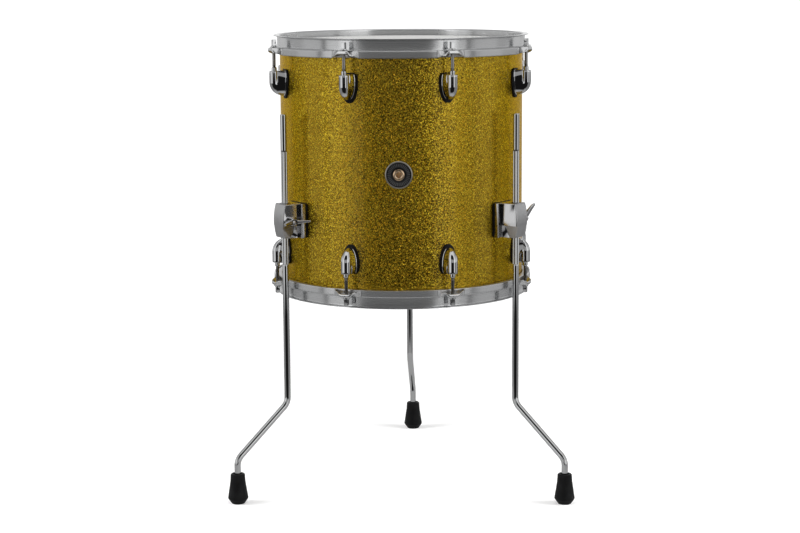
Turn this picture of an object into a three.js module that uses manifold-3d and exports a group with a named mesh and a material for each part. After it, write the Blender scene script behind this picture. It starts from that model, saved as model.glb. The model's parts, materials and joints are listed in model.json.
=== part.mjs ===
// Floor tom: a wrapped wood shell with a flanged steel hoop on each head, lugs and tension
// rods in line on both heads, and three bent steel legs held in clamp brackets.
// Millimetres, +Z up. The floor is at z = 0 and the front of the drum faces -Y. An azimuth
// is counted from the front, anticlockwise as seen from above, and a sub-part is drawn at
// azimuth 0: x along the shell's tangent, -y outwards, z up.
import * as THREE from "three"
import { mergeVertices } from "three/addons/utils/BufferGeometryUtils.js"
import Module from "manifold-3d"

const wasm = await Module()
wasm.setup()

// Gaps and cuts
const SEAT_GAP = 0.3
const RUNNING_CLEARANCE = 0.35
const CUT_OVERRUN = 2
const MERGE_DISTANCE = 0.001

// Shell and wrap
const DRUM_RADIUS = 202.5
const SHELL_DEPTH = 406.4
const SHELL_WALL = 6.5
const SHELL_ABOVE_FLOOR = 338.8
const BEARING_CREST_INSET = 1.9
const WRAP_THICKNESS = 0.6
const WRAP_END_MARGIN = 7

// Drum heads
const FILM_THICKNESS = 0.3
const COLLAR_CLEARANCE = 0.6
const FILM_BOND_DEPTH = 6
const FLESH_HOOP_WIDTH = 8.5
const FLESH_HOOP_HEIGHT = 9
const HEAD_ABOVE_SHELF = 7

// Flanged steel hoops
const HOOP_STEEL = 2.3
const BAND_CLEARANCE = 1.2
const BAND_HEIGHT = 18.2
const LIP_WIDTH = 6.3
const SKIRT_CLEARANCE = 3
const SKIRT_DEPTH = 12.5
const EAR_HALF_WIDTH = 11
const EAR_REACH = 9.5

// Tension rods
const RODS_PER_HEAD = 8
const FIRST_ROD_AZIMUTH = 22.5
const ROD_RADIUS = 2.9
const ROD_OUTSIDE_SKIRT = 4.7
const ROD_ENGAGEMENT = 26
const WASHER_RADIUS = 6
const WASHER_THICKNESS = 1.4
const ROD_FLANGE_RADIUS = 4.6
const ROD_FLANGE_HEIGHT = 1.6
const KEY_HEAD_WIDTH = 6.4
const KEY_HEAD_HEIGHT = 9.7

// Lugs
const LUG_CENTRE_INSET = 64.9
const LUG_HEIGHT = 42
const LUG_BARREL_RADIUS = 8.2
const LUG_BASE_HALF_WIDTH = 11.5
const LUG_BASE_EDGE = 1.6
const LUG_BULGE = 1.4
const LUG_SLEEVE_RADIUS = 4.6
const LUG_SLEEVE_HEIGHT = 5
const LUG_GASKET_THICKNESS = 2.2
const LUG_GASKET_MARGIN = 2.8
const LUG_SCREW_RADIUS = 2.4

// Screws through the shell
const SCREW_HEAD_HEIGHT = 3
const SCREW_HEAD_MARGIN = 2.2

// Leg brackets
const LEG_AZIMUTHS = [-55.5, 55.5, 178]
const LEG_NAMES = ["left", "right", "back"]
const BRACKET_ABOVE_LUG = 1.6
const BRACKET_HEIGHT = 56
const BRACKET_BASE_HALF_WIDTH = 25.8
const BRACKET_BASE_THICKNESS = 5.4
const BRACKET_BASE_CHAMFER = 4.4
const BRACKET_HALF_WIDTH = 15.5
const BRACKET_OUTSIDE_ROD = 12.5
const BRACKET_BARREL_RISE = 4.2
const BRACKET_CHIN_HEIGHT = 19.5
const BRACKET_CHIN_STEP = 1.5
const BRACKET_SEAM_WIDTH = 1.2
const BRACKET_SEAM_DEPTH = 1
const BRACKET_GASKET_THICKNESS = 2.5
const BRACKET_GASKET_MARGIN = 2.8
const BRACKET_GASKET_CORNER = 5.6
const BRACKET_SCREW_RADIUS = 3
const BRACKET_SCREW_INSET = 9
const TOP_OPENING_HALF_WIDTH = 8
const TOP_OPENING_WALL = 2

// Eye bolts and wing nuts
const EYE_CLEARANCE = 1.3
const EYE_RING_WIDTH = 3
const EYE_RING_HEIGHT = 7.6
const EYE_POCKET_CLEARANCE = 1.3
const EYE_BOLT_RADIUS = 3
const EYE_BOLT_BEYOND_NUT = 3
const WING_HUB_RADIUS = 7
const WING_HUB_LENGTH = 14
const WING_SPAN = 50
const WING_REACH = 30
const WING_TIP_WIDTH = 7
const WING_THICKNESS = 4.4
const WING_ANGLES = [4, -68, 35]

// Legs and feet
const LEG_RADIUS = 5.25
const LEG_OUTSIDE_DRUM = 25.5
const LEG_ABOVE_BRACKET = 145
const LEG_END_CHAMFER = 1
const FLUTES_BELOW_LEG_TOP = 58.5
const FLUTED_LENGTH = 189
const FLUTE_DEPTH = 0.5
const LEG_OFFSET = 96
const UPPER_BEND_HEIGHT = 156
const LOWER_BEND_HEIGHT = 73
const BEND_RADIUS = 22
const FOOT_HEIGHT = 50
const FOOT_TOP_RADIUS = 11.9
const FOOT_NECK_RADIUS = 12.5
const FOOT_NECK_HEIGHT = 36
const FOOT_WIDEST_RADIUS = 16.8
const FOOT_WIDEST_HEIGHT = 9
const FOOT_SOLE_RADIUS = 10.5
const FOOT_RIM_ROUNDING = 1.5
const FOOT_RIM_WIDTH = 2.8
const FOOT_LIP_DEPTH = 3
const FOOT_SOCKET_FLOOR = 18

// Badge and vent grommet
const BADGE_RADIUS = 22.8
const BADGE_THICKNESS = 1.2
const VENT_RADIUS = 4.4
const GROMMET_WALL = 2
const GROMMET_FLANGE_RADIUS = 9.2
const GROMMET_FLANGE_THICKNESS = 1.8
const GROMMET_EDGE_THICKNESS = 0.6

// Facet counts
const DRUM_FACETS = 48
const LEG_FACETS = 12
const FOOT_FACETS = 16
const SMALL_FACETS = 8
const SCREW_FACETS = 6
const EAR_ARC_STEPS = 4
const EYE_FACETS = 12
const BADGE_FACETS = 24
const BEND_STEPS = 4
const BOW_STEPS = 4

// Sizes that follow from the ones above
const shellOuter = DRUM_RADIUS - WRAP_THICKNESS - SEAT_GAP
const shellInner = shellOuter - SHELL_WALL
const crestRadius = shellOuter - BEARING_CREST_INSET
const shellTop = SHELL_ABOVE_FLOOR + SHELL_DEPTH
const collarRadius = DRUM_RADIUS + COLLAR_CLEARANCE
const fleshInner = collarRadius + FILM_THICKNESS + SEAT_GAP
const fleshOuter = fleshInner + FLESH_HOOP_WIDTH
const bandInner = collarRadius + FILM_THICKNESS + BAND_CLEARANCE
const bandOuter = bandInner + HOOP_STEEL
const skirtInner = fleshOuter + SKIRT_CLEARANCE
const skirtOuter = skirtInner + HOOP_STEEL
const rodCircle = skirtOuter + ROD_OUTSIDE_SKIRT
const rodHole = ROD_RADIUS + RUNNING_CLEARANCE
const middleHeight = SHELL_ABOVE_FLOOR + SHELL_DEPTH / 2
const lugCentre = SHELL_DEPTH / 2 - LUG_CENTRE_INSET
const lugBack = DRUM_RADIUS + SEAT_GAP + LUG_GASKET_THICKNESS
const lugReach = rodCircle + LUG_BARREL_RADIUS - lugBack
const lugHalf = LUG_HEIGHT / 2
const legCircle = DRUM_RADIUS + LEG_OUTSIDE_DRUM
const legBore = LEG_RADIUS + RUNNING_CLEARANCE
const gasketOuter = DRUM_RADIUS + SEAT_GAP + BRACKET_GASKET_THICKNESS
const bracketBack = gasketOuter + SEAT_GAP
const bracketFace = bracketBack + BRACKET_BASE_THICKNESS
const bracketHalf = BRACKET_HEIGHT / 2
const bracketOuter = legCircle + BRACKET_OUTSIDE_ROD
const lowerLugTop = middleHeight - lugCentre + lugHalf + LUG_GASKET_MARGIN
const bracketCentre = lowerLugTop + BRACKET_ABOVE_LUG + BRACKET_GASKET_MARGIN + bracketHalf
const eyeInner = LEG_RADIUS + EYE_CLEARANCE
const eyeOuter = eyeInner + EYE_RING_WIDTH
const pocketRadius = eyeOuter + EYE_POCKET_CLEARANCE
const nutSeat = BRACKET_HALF_WIDTH + SEAT_GAP
const boltHole = EYE_BOLT_RADIUS + RUNNING_CLEARANCE
const legTop = bracketCentre + bracketHalf + LEG_ABOVE_BRACKET
const footCircle = legCircle + LEG_OFFSET
const footSocket = LEG_RADIUS + SEAT_GAP

const radians = THREE.MathUtils.degToRad

const looks = {
  shell: new THREE.MeshStandardMaterial({ color: 0x9c6b3c, roughness: 0.6, metalness: 0 }),
  wrap: new THREE.MeshStandardMaterial({ color: 0x9a7d12, roughness: 0.35, metalness: 0.4 }),
  film: new THREE.MeshStandardMaterial({ color: 0xe4e4e0, roughness: 0.5, metalness: 0 }),
  aluminium: new THREE.MeshStandardMaterial({ color: 0xb9bbbd, roughness: 0.4, metalness: 1 }),
  chrome: new THREE.MeshStandardMaterial({ color: 0xd6d7d9, roughness: 0.1, metalness: 1 }),
  rubber: new THREE.MeshStandardMaterial({ color: 0x17171a, roughness: 0.75, metalness: 0 }),
  badge: new THREE.MeshStandardMaterial({ color: 0x14120f, roughness: 0.3, metalness: 0.3 }),
  grommet: new THREE.MeshStandardMaterial({ color: 0xb58a58, roughness: 0.3, metalness: 1 }),
}

// A closed mesh with merged vertices, no empty triangles and its faces pointing out
function closed(geometry) {
  const bare = geometry.clone()
  bare.deleteAttribute("normal")
  bare.deleteAttribute("uv")
  const merged = mergeVertices(bare, MERGE_DISTANCE)
  const index = merged.index.array
  const place = merged.attributes.position
  const corners = [0, 1, 2].map(() => new THREE.Vector3())
  const kept = []
  let volume = 0
  for (let i = 0; i < index.length; i += 3) {
    const [a, b, c] = index.slice(i, i + 3)
    if (a === b || b === c || c === a) continue
    kept.push(a, b, c)
    corners.forEach((corner, k) => corner.fromBufferAttribute(place, index[i + k]))
    volume += corners[0].dot(corners[1].cross(corners[2]))
  }
  merged.setIndex(volume < 0 ? kept.reverse() : kept)
  return merged
}

function toSolid(geometry) {
  const mesh = closed(geometry)
  const vertProperties = new Float32Array(mesh.attributes.position.array)
  const triVerts = new Uint32Array(mesh.index.array)
  return new wasm.Manifold(new wasm.Mesh({ numProp: 3, vertProperties, triVerts }))
}

function toGeometry(solid) {
  const mesh = solid.getMesh()
  const geometry = new THREE.BufferGeometry()
  geometry.setAttribute("position", new THREE.BufferAttribute(mesh.vertProperties, mesh.numProp))
  geometry.setIndex(new THREE.BufferAttribute(mesh.triVerts, 1))
  return geometry
}

// The first geometry with the others joined to it
function joined(...geometries) {
  return toGeometry(geometries.map(toSolid).reduce((whole, piece) => whole.add(piece)))
}

function cut(geometry, ...tools) {
  return toGeometry(tools.map(toSolid).reduce((left, tool) => left.subtract(tool), toSolid(geometry)))
}

function common(geometry, other) {
  return toGeometry(toSolid(geometry).intersect(toSolid(other)))
}

// A profile of [radius, height] points turned about the z axis
function revolved(profile, facets, startAngle = 0) {
  const points = profile.map(([radius, height]) => new THREE.Vector2(radius, height))
  return new THREE.LatheGeometry(points, facets, startAngle, 2 * Math.PI).rotateX(Math.PI / 2)
}

// A ring profile closes on its first point
function ring(profile, facets, startAngle) {
  return revolved([...profile, profile[0]], facets, startAngle)
}

// Rings round the drum have a flat facet in the middle of each lug and of the badge
function drumRing(profile) {
  return ring(profile, DRUM_FACETS, Math.PI / DRUM_FACETS)
}

function drumCore(radius) {
  const profile = [[0, 0], [radius, 0], [radius, shellTop], [0, shellTop]]
  return revolved(profile, DRUM_FACETS, Math.PI / DRUM_FACETS)
}

function post(radius, low, high, facets) {
  return revolved([[0, low], [radius, low], [radius, high], [0, high]], facets, Math.PI / facets)
}

// A post that lies along the radius, from one distance from the drum's axis to another
function radialPost(radius, near, far, facets, height) {
  return post(radius, near, far, facets).rotateX(Math.PI / 2).translate(0, 0, height)
}

// A flat outline of [x, y] points drawn up from one height to another
function prism(outline, low, high) {
  const shape = new THREE.Shape(outline.map(([x, y]) => new THREE.Vector2(x, y)))
  const depth = high - low
  return new THREE.ExtrudeGeometry(shape, { depth, bevelEnabled: false }).translate(0, 0, low)
}

// An outline of [x, height] points drawn outwards from one distance to another
function radialPrism(outline, near, far) {
  return prism(outline, near, far).rotateX(Math.PI / 2)
}

// An outline of [distance outwards, height] points drawn along the tangent
const acrossBasis = new THREE.Matrix4().makeBasis(
  new THREE.Vector3(0, -1, 0), new THREE.Vector3(0, 0, 1), new THREE.Vector3(1, 0, 0))

function acrossPrism(outline, low, high) {
  return prism(outline, low, high).applyMatrix4(acrossBasis)
}

function block(halfWidth, near, far, low, high) {
  return prism([[-halfWidth, -far], [halfWidth, -far], [halfWidth, -near], [-halfWidth, -near]], low, high)
}

// Rings of points, all alike in number, skinned one after another and closed at both ends
function lofted(rings) {
  const count = rings[0].length
  const centre = (points) => points.reduce((sum, p) => sum.add(p), new THREE.Vector3()).divideScalar(count)
  const places = [...rings.flat(), centre(rings[0]), centre(rings.at(-1))]
  const first = places.length - 2
  const last = places.length - 1
  const index = []
  for (let k = 0; k < count; k++) {
    const next = (k + 1) % count
    for (let level = 0; level < rings.length - 1; level++) {
      const low = level * count
      const high = low + count
      index.push(low + k, low + next, high + next, low + k, high + next, high + k)
    }
    const end = (rings.length - 1) * count
    index.push(first, next, k, last, end + k, end + next)
  }
  const geometry = new THREE.BufferGeometry().setFromPoints(places)
  geometry.setIndex(index)
  return geometry
}

const model = new THREE.Group()

function add(name, geometry, material, azimuth = 0) {
  const mesh = new THREE.Mesh(closed(geometry), material)
  mesh.name = name
  mesh.rotation.z = radians(azimuth)
  model.add(mesh)
}

// The distance to the middle of a drum facet whose corners lie at the radius
function flat(radius) {
  return radius * Math.cos(Math.PI / DRUM_FACETS)
}

const rodAzimuths = Array.from({ length: RODS_PER_HEAD }, (_, k) =>
  FIRST_ROD_AZIMUTH + k * 360 / RODS_PER_HEAD)
const lugHeights = [middleHeight + lugCentre, middleHeight - lugCentre]
const bracketScrewHeights = [-1, 1].map((way) => bracketCentre + way * (bracketHalf - BRACKET_SCREW_INSET))
const screwFace = flat(shellInner) - SEAT_GAP
const grommetTube = VENT_RADIUS + GROMMET_WALL

// Holes through the wrap and shell for the lug screws, the bracket screws and the vent
function shellHoles() {
  const near = shellInner - CUT_OVERRUN
  const far = DRUM_RADIUS + CUT_OVERRUN
  const hole = (radius, facets, azimuth, height) =>
    radialPost(radius + RUNNING_CLEARANCE, near, far, facets, height).rotateZ(radians(azimuth))
  return [
    ...rodAzimuths.flatMap((azimuth) =>
      lugHeights.map((height) => hole(LUG_SCREW_RADIUS, SCREW_FACETS, azimuth, height))),
    ...LEG_AZIMUTHS.flatMap((azimuth) =>
      bracketScrewHeights.map((height) => hole(BRACKET_SCREW_RADIUS, SCREW_FACETS, azimuth, height))),
    hole(grommetTube, EYE_FACETS, 0, middleHeight),
  ]
}

// A plain wall with a crest near the outer face at both ends, bevelled at 45 degrees inside
function shell() {
  const bevel = SHELL_WALL - BEARING_CREST_INSET
  return drumRing([
    [shellInner, SHELL_ABOVE_FLOOR + bevel],
    [crestRadius, SHELL_ABOVE_FLOOR],
    [shellOuter, SHELL_ABOVE_FLOOR + BEARING_CREST_INSET],
    [shellOuter, shellTop - BEARING_CREST_INSET],
    [crestRadius, shellTop],
    [shellInner, shellTop - bevel],
  ])
}

function wrap() {
  const inner = DRUM_RADIUS - WRAP_THICKNESS
  const low = SHELL_ABOVE_FLOOR + WRAP_END_MARGIN
  const high = shellTop - WRAP_END_MARGIN
  return drumRing([[inner, low], [DRUM_RADIUS, low], [DRUM_RADIUS, high], [inner, high]])
}

// What sits on a head is drawn upwards from the crest of the shell, and mirrored for the lower head
function onHead(side, geometry) {
  return geometry.scale(1, 1, side).translate(0, 0, side > 0 ? shellTop : SHELL_ABOVE_FLOOR)
}

const shelfDepth = HEAD_ABOVE_SHELF + HOOP_STEEL + SEAT_GAP

function film() {
  const slope = collarRadius - crestRadius
  const edge = -shelfDepth - FILM_BOND_DEPTH
  const outer = collarRadius + FILM_THICKNESS
  const top = SEAT_GAP + FILM_THICKNESS
  return revolved([
    [0, SEAT_GAP],
    [crestRadius, SEAT_GAP],
    [collarRadius, SEAT_GAP - slope],
    [collarRadius, edge],
    [outer, edge],
    [outer, top - slope],
    [crestRadius + FILM_THICKNESS, top],
    [0, top],
  ], DRUM_FACETS, Math.PI / DRUM_FACETS)
}

function fleshHoop() {
  const top = -shelfDepth
  const low = top - FLESH_HOOP_HEIGHT
  return drumRing([[fleshInner, low], [fleshOuter, low], [fleshOuter, top], [fleshInner, top]])
}

// Band, outward lip, shelf and skirt, drawn with the shelf's outer face at height 0
function hoopRing() {
  return drumRing([
    [bandInner, -HOOP_STEEL],
    [bandInner, BAND_HEIGHT],
    [bandOuter + LIP_WIDTH, BAND_HEIGHT],
    [bandOuter + LIP_WIDTH, BAND_HEIGHT - HOOP_STEEL],
    [bandOuter, BAND_HEIGHT - HOOP_STEEL],
    [bandOuter, 0],
    [skirtOuter, 0],
    [skirtOuter, -SKIRT_DEPTH],
    [skirtInner, -SKIRT_DEPTH],
    [skirtInner, -HOOP_STEEL],
  ])
}

// A tongue that carries one tension rod, with a tapering wall at each side
function ear() {
  const arc = Array.from({ length: EAR_ARC_STEPS + 1 }, (_, k) => Math.PI * k / EAR_ARC_STEPS)
    .map((turn) => [EAR_HALF_WIDTH * Math.cos(turn), -rodCircle - EAR_REACH * Math.sin(turn)])
  const root = HOOP_STEEL / 2 - skirtOuter
  const plate = prism([[EAR_HALF_WIDTH, root], ...arc, [-EAR_HALF_WIDTH, root]], -HOOP_STEEL, 0)
  const taper = [[skirtInner, 0], [rodCircle, 0], [rodCircle, -HOOP_STEEL], [skirtInner, -SKIRT_DEPTH]]
  const wallInner = EAR_HALF_WIDTH - HOOP_STEEL
  return [
    plate,
    acrossPrism(taper, wallInner, EAR_HALF_WIDTH),
    acrossPrism(taper, -EAR_HALF_WIDTH, -wallInner),
  ]
}

function hoop() {
  const wallInner = EAR_HALF_WIDTH - HOOP_STEEL
  const low = -SKIRT_DEPTH - CUT_OVERRUN
  const around = (pieces) => rodAzimuths.flatMap((azimuth) =>
    pieces().map((piece) => piece.rotateZ(radians(azimuth))))
  const gaps = () => [block(wallInner, skirtInner - HOOP_STEEL, skirtOuter + CUT_OVERRUN, low, -HOOP_STEEL)]
  const holes = () => [post(rodHole, low, CUT_OVERRUN, SMALL_FACETS).translate(0, -rodCircle, 0)]
  const opened = cut(hoopRing(), ...around(gaps))
  return cut(joined(opened, ...around(ear)), ...around(holes)).translate(0, 0, -HEAD_ABOVE_SHELF)
}

// A threaded rod under a washer, a round flange and a square key head
const sleeveTop = lugCentre + lugHalf + LUG_SLEEVE_HEIGHT
const rodReach = SHELL_DEPTH / 2 - HEAD_ABOVE_SHELF - sleeveTop + ROD_ENGAGEMENT

function tensionRod() {
  const flange = SEAT_GAP + WASHER_THICKNESS
  const top = flange + ROD_FLANGE_HEIGHT
  const turned = revolved([
    [0, -rodReach],
    [ROD_RADIUS, -rodReach],
    [ROD_RADIUS, SEAT_GAP],
    [WASHER_RADIUS, SEAT_GAP],
    [WASHER_RADIUS, flange],
    [ROD_FLANGE_RADIUS, flange],
    [ROD_FLANGE_RADIUS, top],
    [0, top],
  ], SMALL_FACETS, Math.PI / SMALL_FACETS)
  const key = new THREE.BoxGeometry(KEY_HEAD_WIDTH, KEY_HEAD_WIDTH, KEY_HEAD_HEIGHT + ROD_FLANGE_HEIGHT)
    .translate(0, 0, flange + (KEY_HEAD_HEIGHT + ROD_FLANGE_HEIGHT) / 2)
  return joined(turned, key).translate(0, -rodCircle, -HEAD_ABOVE_SHELF)
}

// A lug keeps its width down to a third below its middle and is then rounded off
const LUG_LEVEL_SHARES = [1, 0.1, -0.3, -0.62, -0.86, -1]
const LUG_ROUND_SHARE = 0.3
const LUG_TIP_SHARE = 0.22
const LUG_TOP_SHARE = 0.95
const LUG_ROUND_POWER = 2.4

function lugTaper(share) {
  const depth = Math.max(0, (-share - LUG_ROUND_SHARE) / (1 - LUG_ROUND_SHARE))
  const round = (1 - depth ** LUG_ROUND_POWER) ** (1 / LUG_ROUND_POWER)
  return Math.max(LUG_TIP_SHARE, round) * (share === 1 ? LUG_TOP_SHARE : 1)
}

// Level outlines run from the base edge up a flank and round the barrel
function lugLevel(share) {
  const taper = lugTaper(share)
  const width = LUG_BASE_HALF_WIDTH * taper
  const barrel = LUG_BARREL_RADIUS * taper
  const reach = (lugReach + LUG_BULGE * (1 - share * share)) * taper
  const shoulder = reach - barrel
  const diagonal = barrel * Math.SQRT1_2
  const half = [
    [width, -LUG_GASKET_THICKNESS / 2],
    [width, LUG_BASE_EDGE * taper],
    [barrel, shoulder],
    [diagonal, shoulder + diagonal],
  ]
  const outline = [...half, [0, reach], ...half.map(([x, out]) => [-x, out]).reverse()]
  return outline.map(([x, out]) => new THREE.Vector3(x, -lugBack - out, lugHalf * share))
}

// The same outline seen from the front, for the gasket under the lug
function lugPlan(margin) {
  const side = LUG_LEVEL_SHARES.map((share) =>
    [(LUG_BASE_HALF_WIDTH + margin) * lugTaper(share), (lugHalf + margin) * share])
  return [...side, ...side.map(([x, height]) => [-x, height]).reverse()]
}

function screw(radius, outer, height) {
  return joined(
    radialPost(radius, screwFace - SCREW_HEAD_HEIGHT / 2, outer, SCREW_FACETS, height),
    radialPost(radius + SCREW_HEAD_MARGIN, screwFace - SCREW_HEAD_HEIGHT, screwFace, SCREW_FACETS, height))
}

// Casing, rod sleeve, gasket and mounting screw, drawn for the upper head
function lug() {
  const casing = lofted(LUG_LEVEL_SHARES.map(lugLevel))
  const sleeve = post(LUG_SLEEVE_RADIUS, 0, lugHalf + LUG_SLEEVE_HEIGHT, SMALL_FACETS)
    .translate(0, -rodCircle, 0)
  const gasket = cut(
    radialPrism(lugPlan(LUG_GASKET_MARGIN), DRUM_RADIUS - LUG_GASKET_THICKNESS, lugBack),
    drumCore(DRUM_RADIUS + SEAT_GAP).translate(0, 0, -middleHeight))
  const boreLow = lugHalf + LUG_SLEEVE_HEIGHT - ROD_ENGAGEMENT - CUT_OVERRUN
  const bore = post(rodHole, boreLow, lugHalf + LUG_SLEEVE_HEIGHT + CUT_OVERRUN, SMALL_FACETS)
    .translate(0, -rodCircle, 0)
  return cut(joined(casing, sleeve, gasket, screw(LUG_SCREW_RADIUS, lugBack, 0)), bore)
}

// The barrel front is bowed in side view
function barrelOutline(near) {
  const bow = Array.from({ length: BOW_STEPS + 1 }, (_, k) => 2 * k / BOW_STEPS - 1)
    .map((share) => [bracketOuter - BRACKET_BARREL_RISE * share * share, bracketHalf * share])
  return [[near, -bracketHalf], ...bow, [near, bracketHalf]]
}

const SEAM_START_SHARE = 0.16
const SEAM_END_SHARE = 0.48

// A slanted seam low on each flank, from the base out to the bottom of the housing
function seams() {
  const depth = bracketOuter - bracketFace
  const start = bracketFace + depth * SEAM_START_SHARE
  const end = bracketFace + depth * SEAM_END_SHARE
  const chinTop = BRACKET_CHIN_HEIGHT - bracketHalf
  const low = -bracketHalf
  const outline = [
    [start, chinTop],
    [start + BRACKET_SEAM_WIDTH, chinTop],
    [end + BRACKET_SEAM_WIDTH, low - SEAT_GAP],
    [end, low - SEAT_GAP],
  ]
  const inner = BRACKET_HALF_WIDTH - BRACKET_CHIN_STEP - BRACKET_SEAM_DEPTH
  const outer = BRACKET_HALF_WIDTH + CUT_OVERRUN
  return [acrossPrism(outline, inner, outer), acrossPrism(outline, -outer, -inner)]
}

// Base and housing in one casting, with a close bore for the leg, an opening above it,
// a pocket for the eye and a hole for the eye bolt
function bracket(azimuth) {
  const chamferFace = bracketFace - BRACKET_BASE_CHAMFER
  const frontHalf = BRACKET_BASE_HALF_WIDTH - BRACKET_BASE_CHAMFER
  const near = DRUM_RADIUS - BRACKET_BASE_THICKNESS
  const base = prism([
    [-BRACKET_BASE_HALF_WIDTH, -near],
    [-BRACKET_BASE_HALF_WIDTH, -chamferFace],
    [-frontHalf, -bracketFace],
    [frontHalf, -bracketFace],
    [BRACKET_BASE_HALF_WIDTH, -chamferFace],
    [BRACKET_BASE_HALF_WIDTH, -near],
  ], -bracketHalf, bracketHalf)
  const housing = acrossPrism(barrelOutline(chamferFace), -BRACKET_HALF_WIDTH, BRACKET_HALF_WIDTH)
  const core = drumCore(bracketBack).translate(0, 0, -bracketCentre).rotateZ(-radians(azimuth))
  const chinHalf = BRACKET_HALF_WIDTH - BRACKET_CHIN_STEP
  const chinTop = BRACKET_CHIN_HEIGHT - bracketHalf
  const chinSides = [-1, 1].map((way) =>
    block(BRACKET_CHIN_STEP, bracketFace, bracketOuter + CUT_OVERRUN, -bracketHalf - CUT_OVERRUN, chinTop)
      .translate(way * (chinHalf + BRACKET_CHIN_STEP), 0, 0))
  const pocketHalf = EYE_RING_HEIGHT / 2 + EYE_POCKET_CLEARANCE
  const high = bracketHalf + CUT_OVERRUN
  const openingOuter = bracketOuter - BRACKET_BARREL_RISE - TOP_OPENING_WALL
  const screws = [-1, 1].map((way) =>
    screw(BRACKET_SCREW_RADIUS, bracketBack + BRACKET_BASE_THICKNESS / 2,
      way * (bracketHalf - BRACKET_SCREW_INSET)))
  const casting = cut(
    joined(base, housing),
    core,
    ...chinSides,
    ...seams(),
    post(legBore, -high, high, LEG_FACETS).translate(0, -legCircle, 0),
    post(pocketRadius, -pocketHalf, pocketHalf, EYE_FACETS).translate(0, -legCircle, 0),
    block(TOP_OPENING_HALF_WIDTH, legCircle - TOP_OPENING_HALF_WIDTH, openingOuter, 0, high),
    tangentPost(boltHole, 0, BRACKET_HALF_WIDTH + CUT_OVERRUN, SMALL_FACETS).translate(0, -legCircle, 0))
  return joined(casting, ...screws)
}

function tangentPost(radius, near, far, facets) {
  return post(radius, near, far, facets).rotateY(Math.PI / 2)
}

function bracketGasket(azimuth) {
  const half = BRACKET_BASE_HALF_WIDTH + BRACKET_GASKET_MARGIN
  const high = bracketHalf + BRACKET_GASKET_MARGIN
  const corner = BRACKET_GASKET_CORNER
  const turned = (radius) => drumCore(radius).translate(0, 0, -bracketCentre).rotateZ(-radians(azimuth))
  const plan = [
    [half, corner - high], [half, high - corner], [half - corner, high], [corner - half, high],
    [-half, high - corner], [-half, corner - high], [corner - half, -high], [half - corner, -high],
  ]
  const slab = radialPrism(plan, DRUM_RADIUS - BRACKET_BASE_THICKNESS, gasketOuter + CUT_OVERRUN)
  const holes = [-1, 1].map((way) =>
    radialPost(BRACKET_SCREW_RADIUS + RUNNING_CLEARANCE, DRUM_RADIUS - CUT_OVERRUN, gasketOuter + CUT_OVERRUN,
      SCREW_FACETS, way * (bracketHalf - BRACKET_SCREW_INSET)))
  return cut(common(slab, turned(gasketOuter)), turned(DRUM_RADIUS + SEAT_GAP), ...holes)
}

// The eye is drawn up against the leg, so it stands off the leg's axis by its spare clearance
const SHANK_ROOT_SHARE = 0.7

function eyeBolt() {
  const half = EYE_RING_HEIGHT / 2
  const eye = ring(
    [[eyeInner, -half], [eyeOuter, -half], [eyeOuter, half], [eyeInner, half]],
    EYE_FACETS, Math.PI / EYE_FACETS).translate(EYE_CLEARANCE - SEAT_GAP, 0, 0)
  const end = nutSeat + WING_HUB_LENGTH + EYE_BOLT_BEYOND_NUT
  const root = eyeInner + EYE_RING_WIDTH * SHANK_ROOT_SHARE
  const shank = tangentPost(EYE_BOLT_RADIUS, root, end, SMALL_FACETS)
  return joined(eye, shank).translate(0, -legCircle, 0)
}

// Hub and two flaring wings, turned about the bolt by the wing angle
const WING_ROOT_SHARE = 0.3
const WING_NECK_SHARE = 0.55
const WING_SHOULDER_SHARE = 0.91

function wingNut(angle) {
  const tip = WING_SPAN / 2
  const near = nutSeat + WING_HUB_LENGTH * WING_ROOT_SHARE
  const neck = nutSeat + WING_HUB_LENGTH
  const far = nutSeat + WING_REACH
  const side = [
    [near, 0],
    [near + WING_TIP_WIDTH * WING_ROOT_SHARE, tip * WING_NECK_SHARE],
    [far - WING_TIP_WIDTH, tip],
    [far, tip * WING_SHOULDER_SHARE],
    [neck + WING_TIP_WIDTH * WING_ROOT_SHARE, tip * WING_ROOT_SHARE],
    [neck, 0],
  ]
  const wing = (way) => prism(side.map(([x, y]) => [x, way * y]), -WING_THICKNESS / 2, WING_THICKNESS / 2)
  const hub = tangentPost(WING_HUB_RADIUS, nutSeat, neck, EYE_FACETS)
  const bore = tangentPost(boltHole, 0, far, SMALL_FACETS)
  return cut(joined(hub, wing(1), wing(-1)), bore).rotateX(radians(angle)).translate(0, -legCircle, 0)
}

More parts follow.
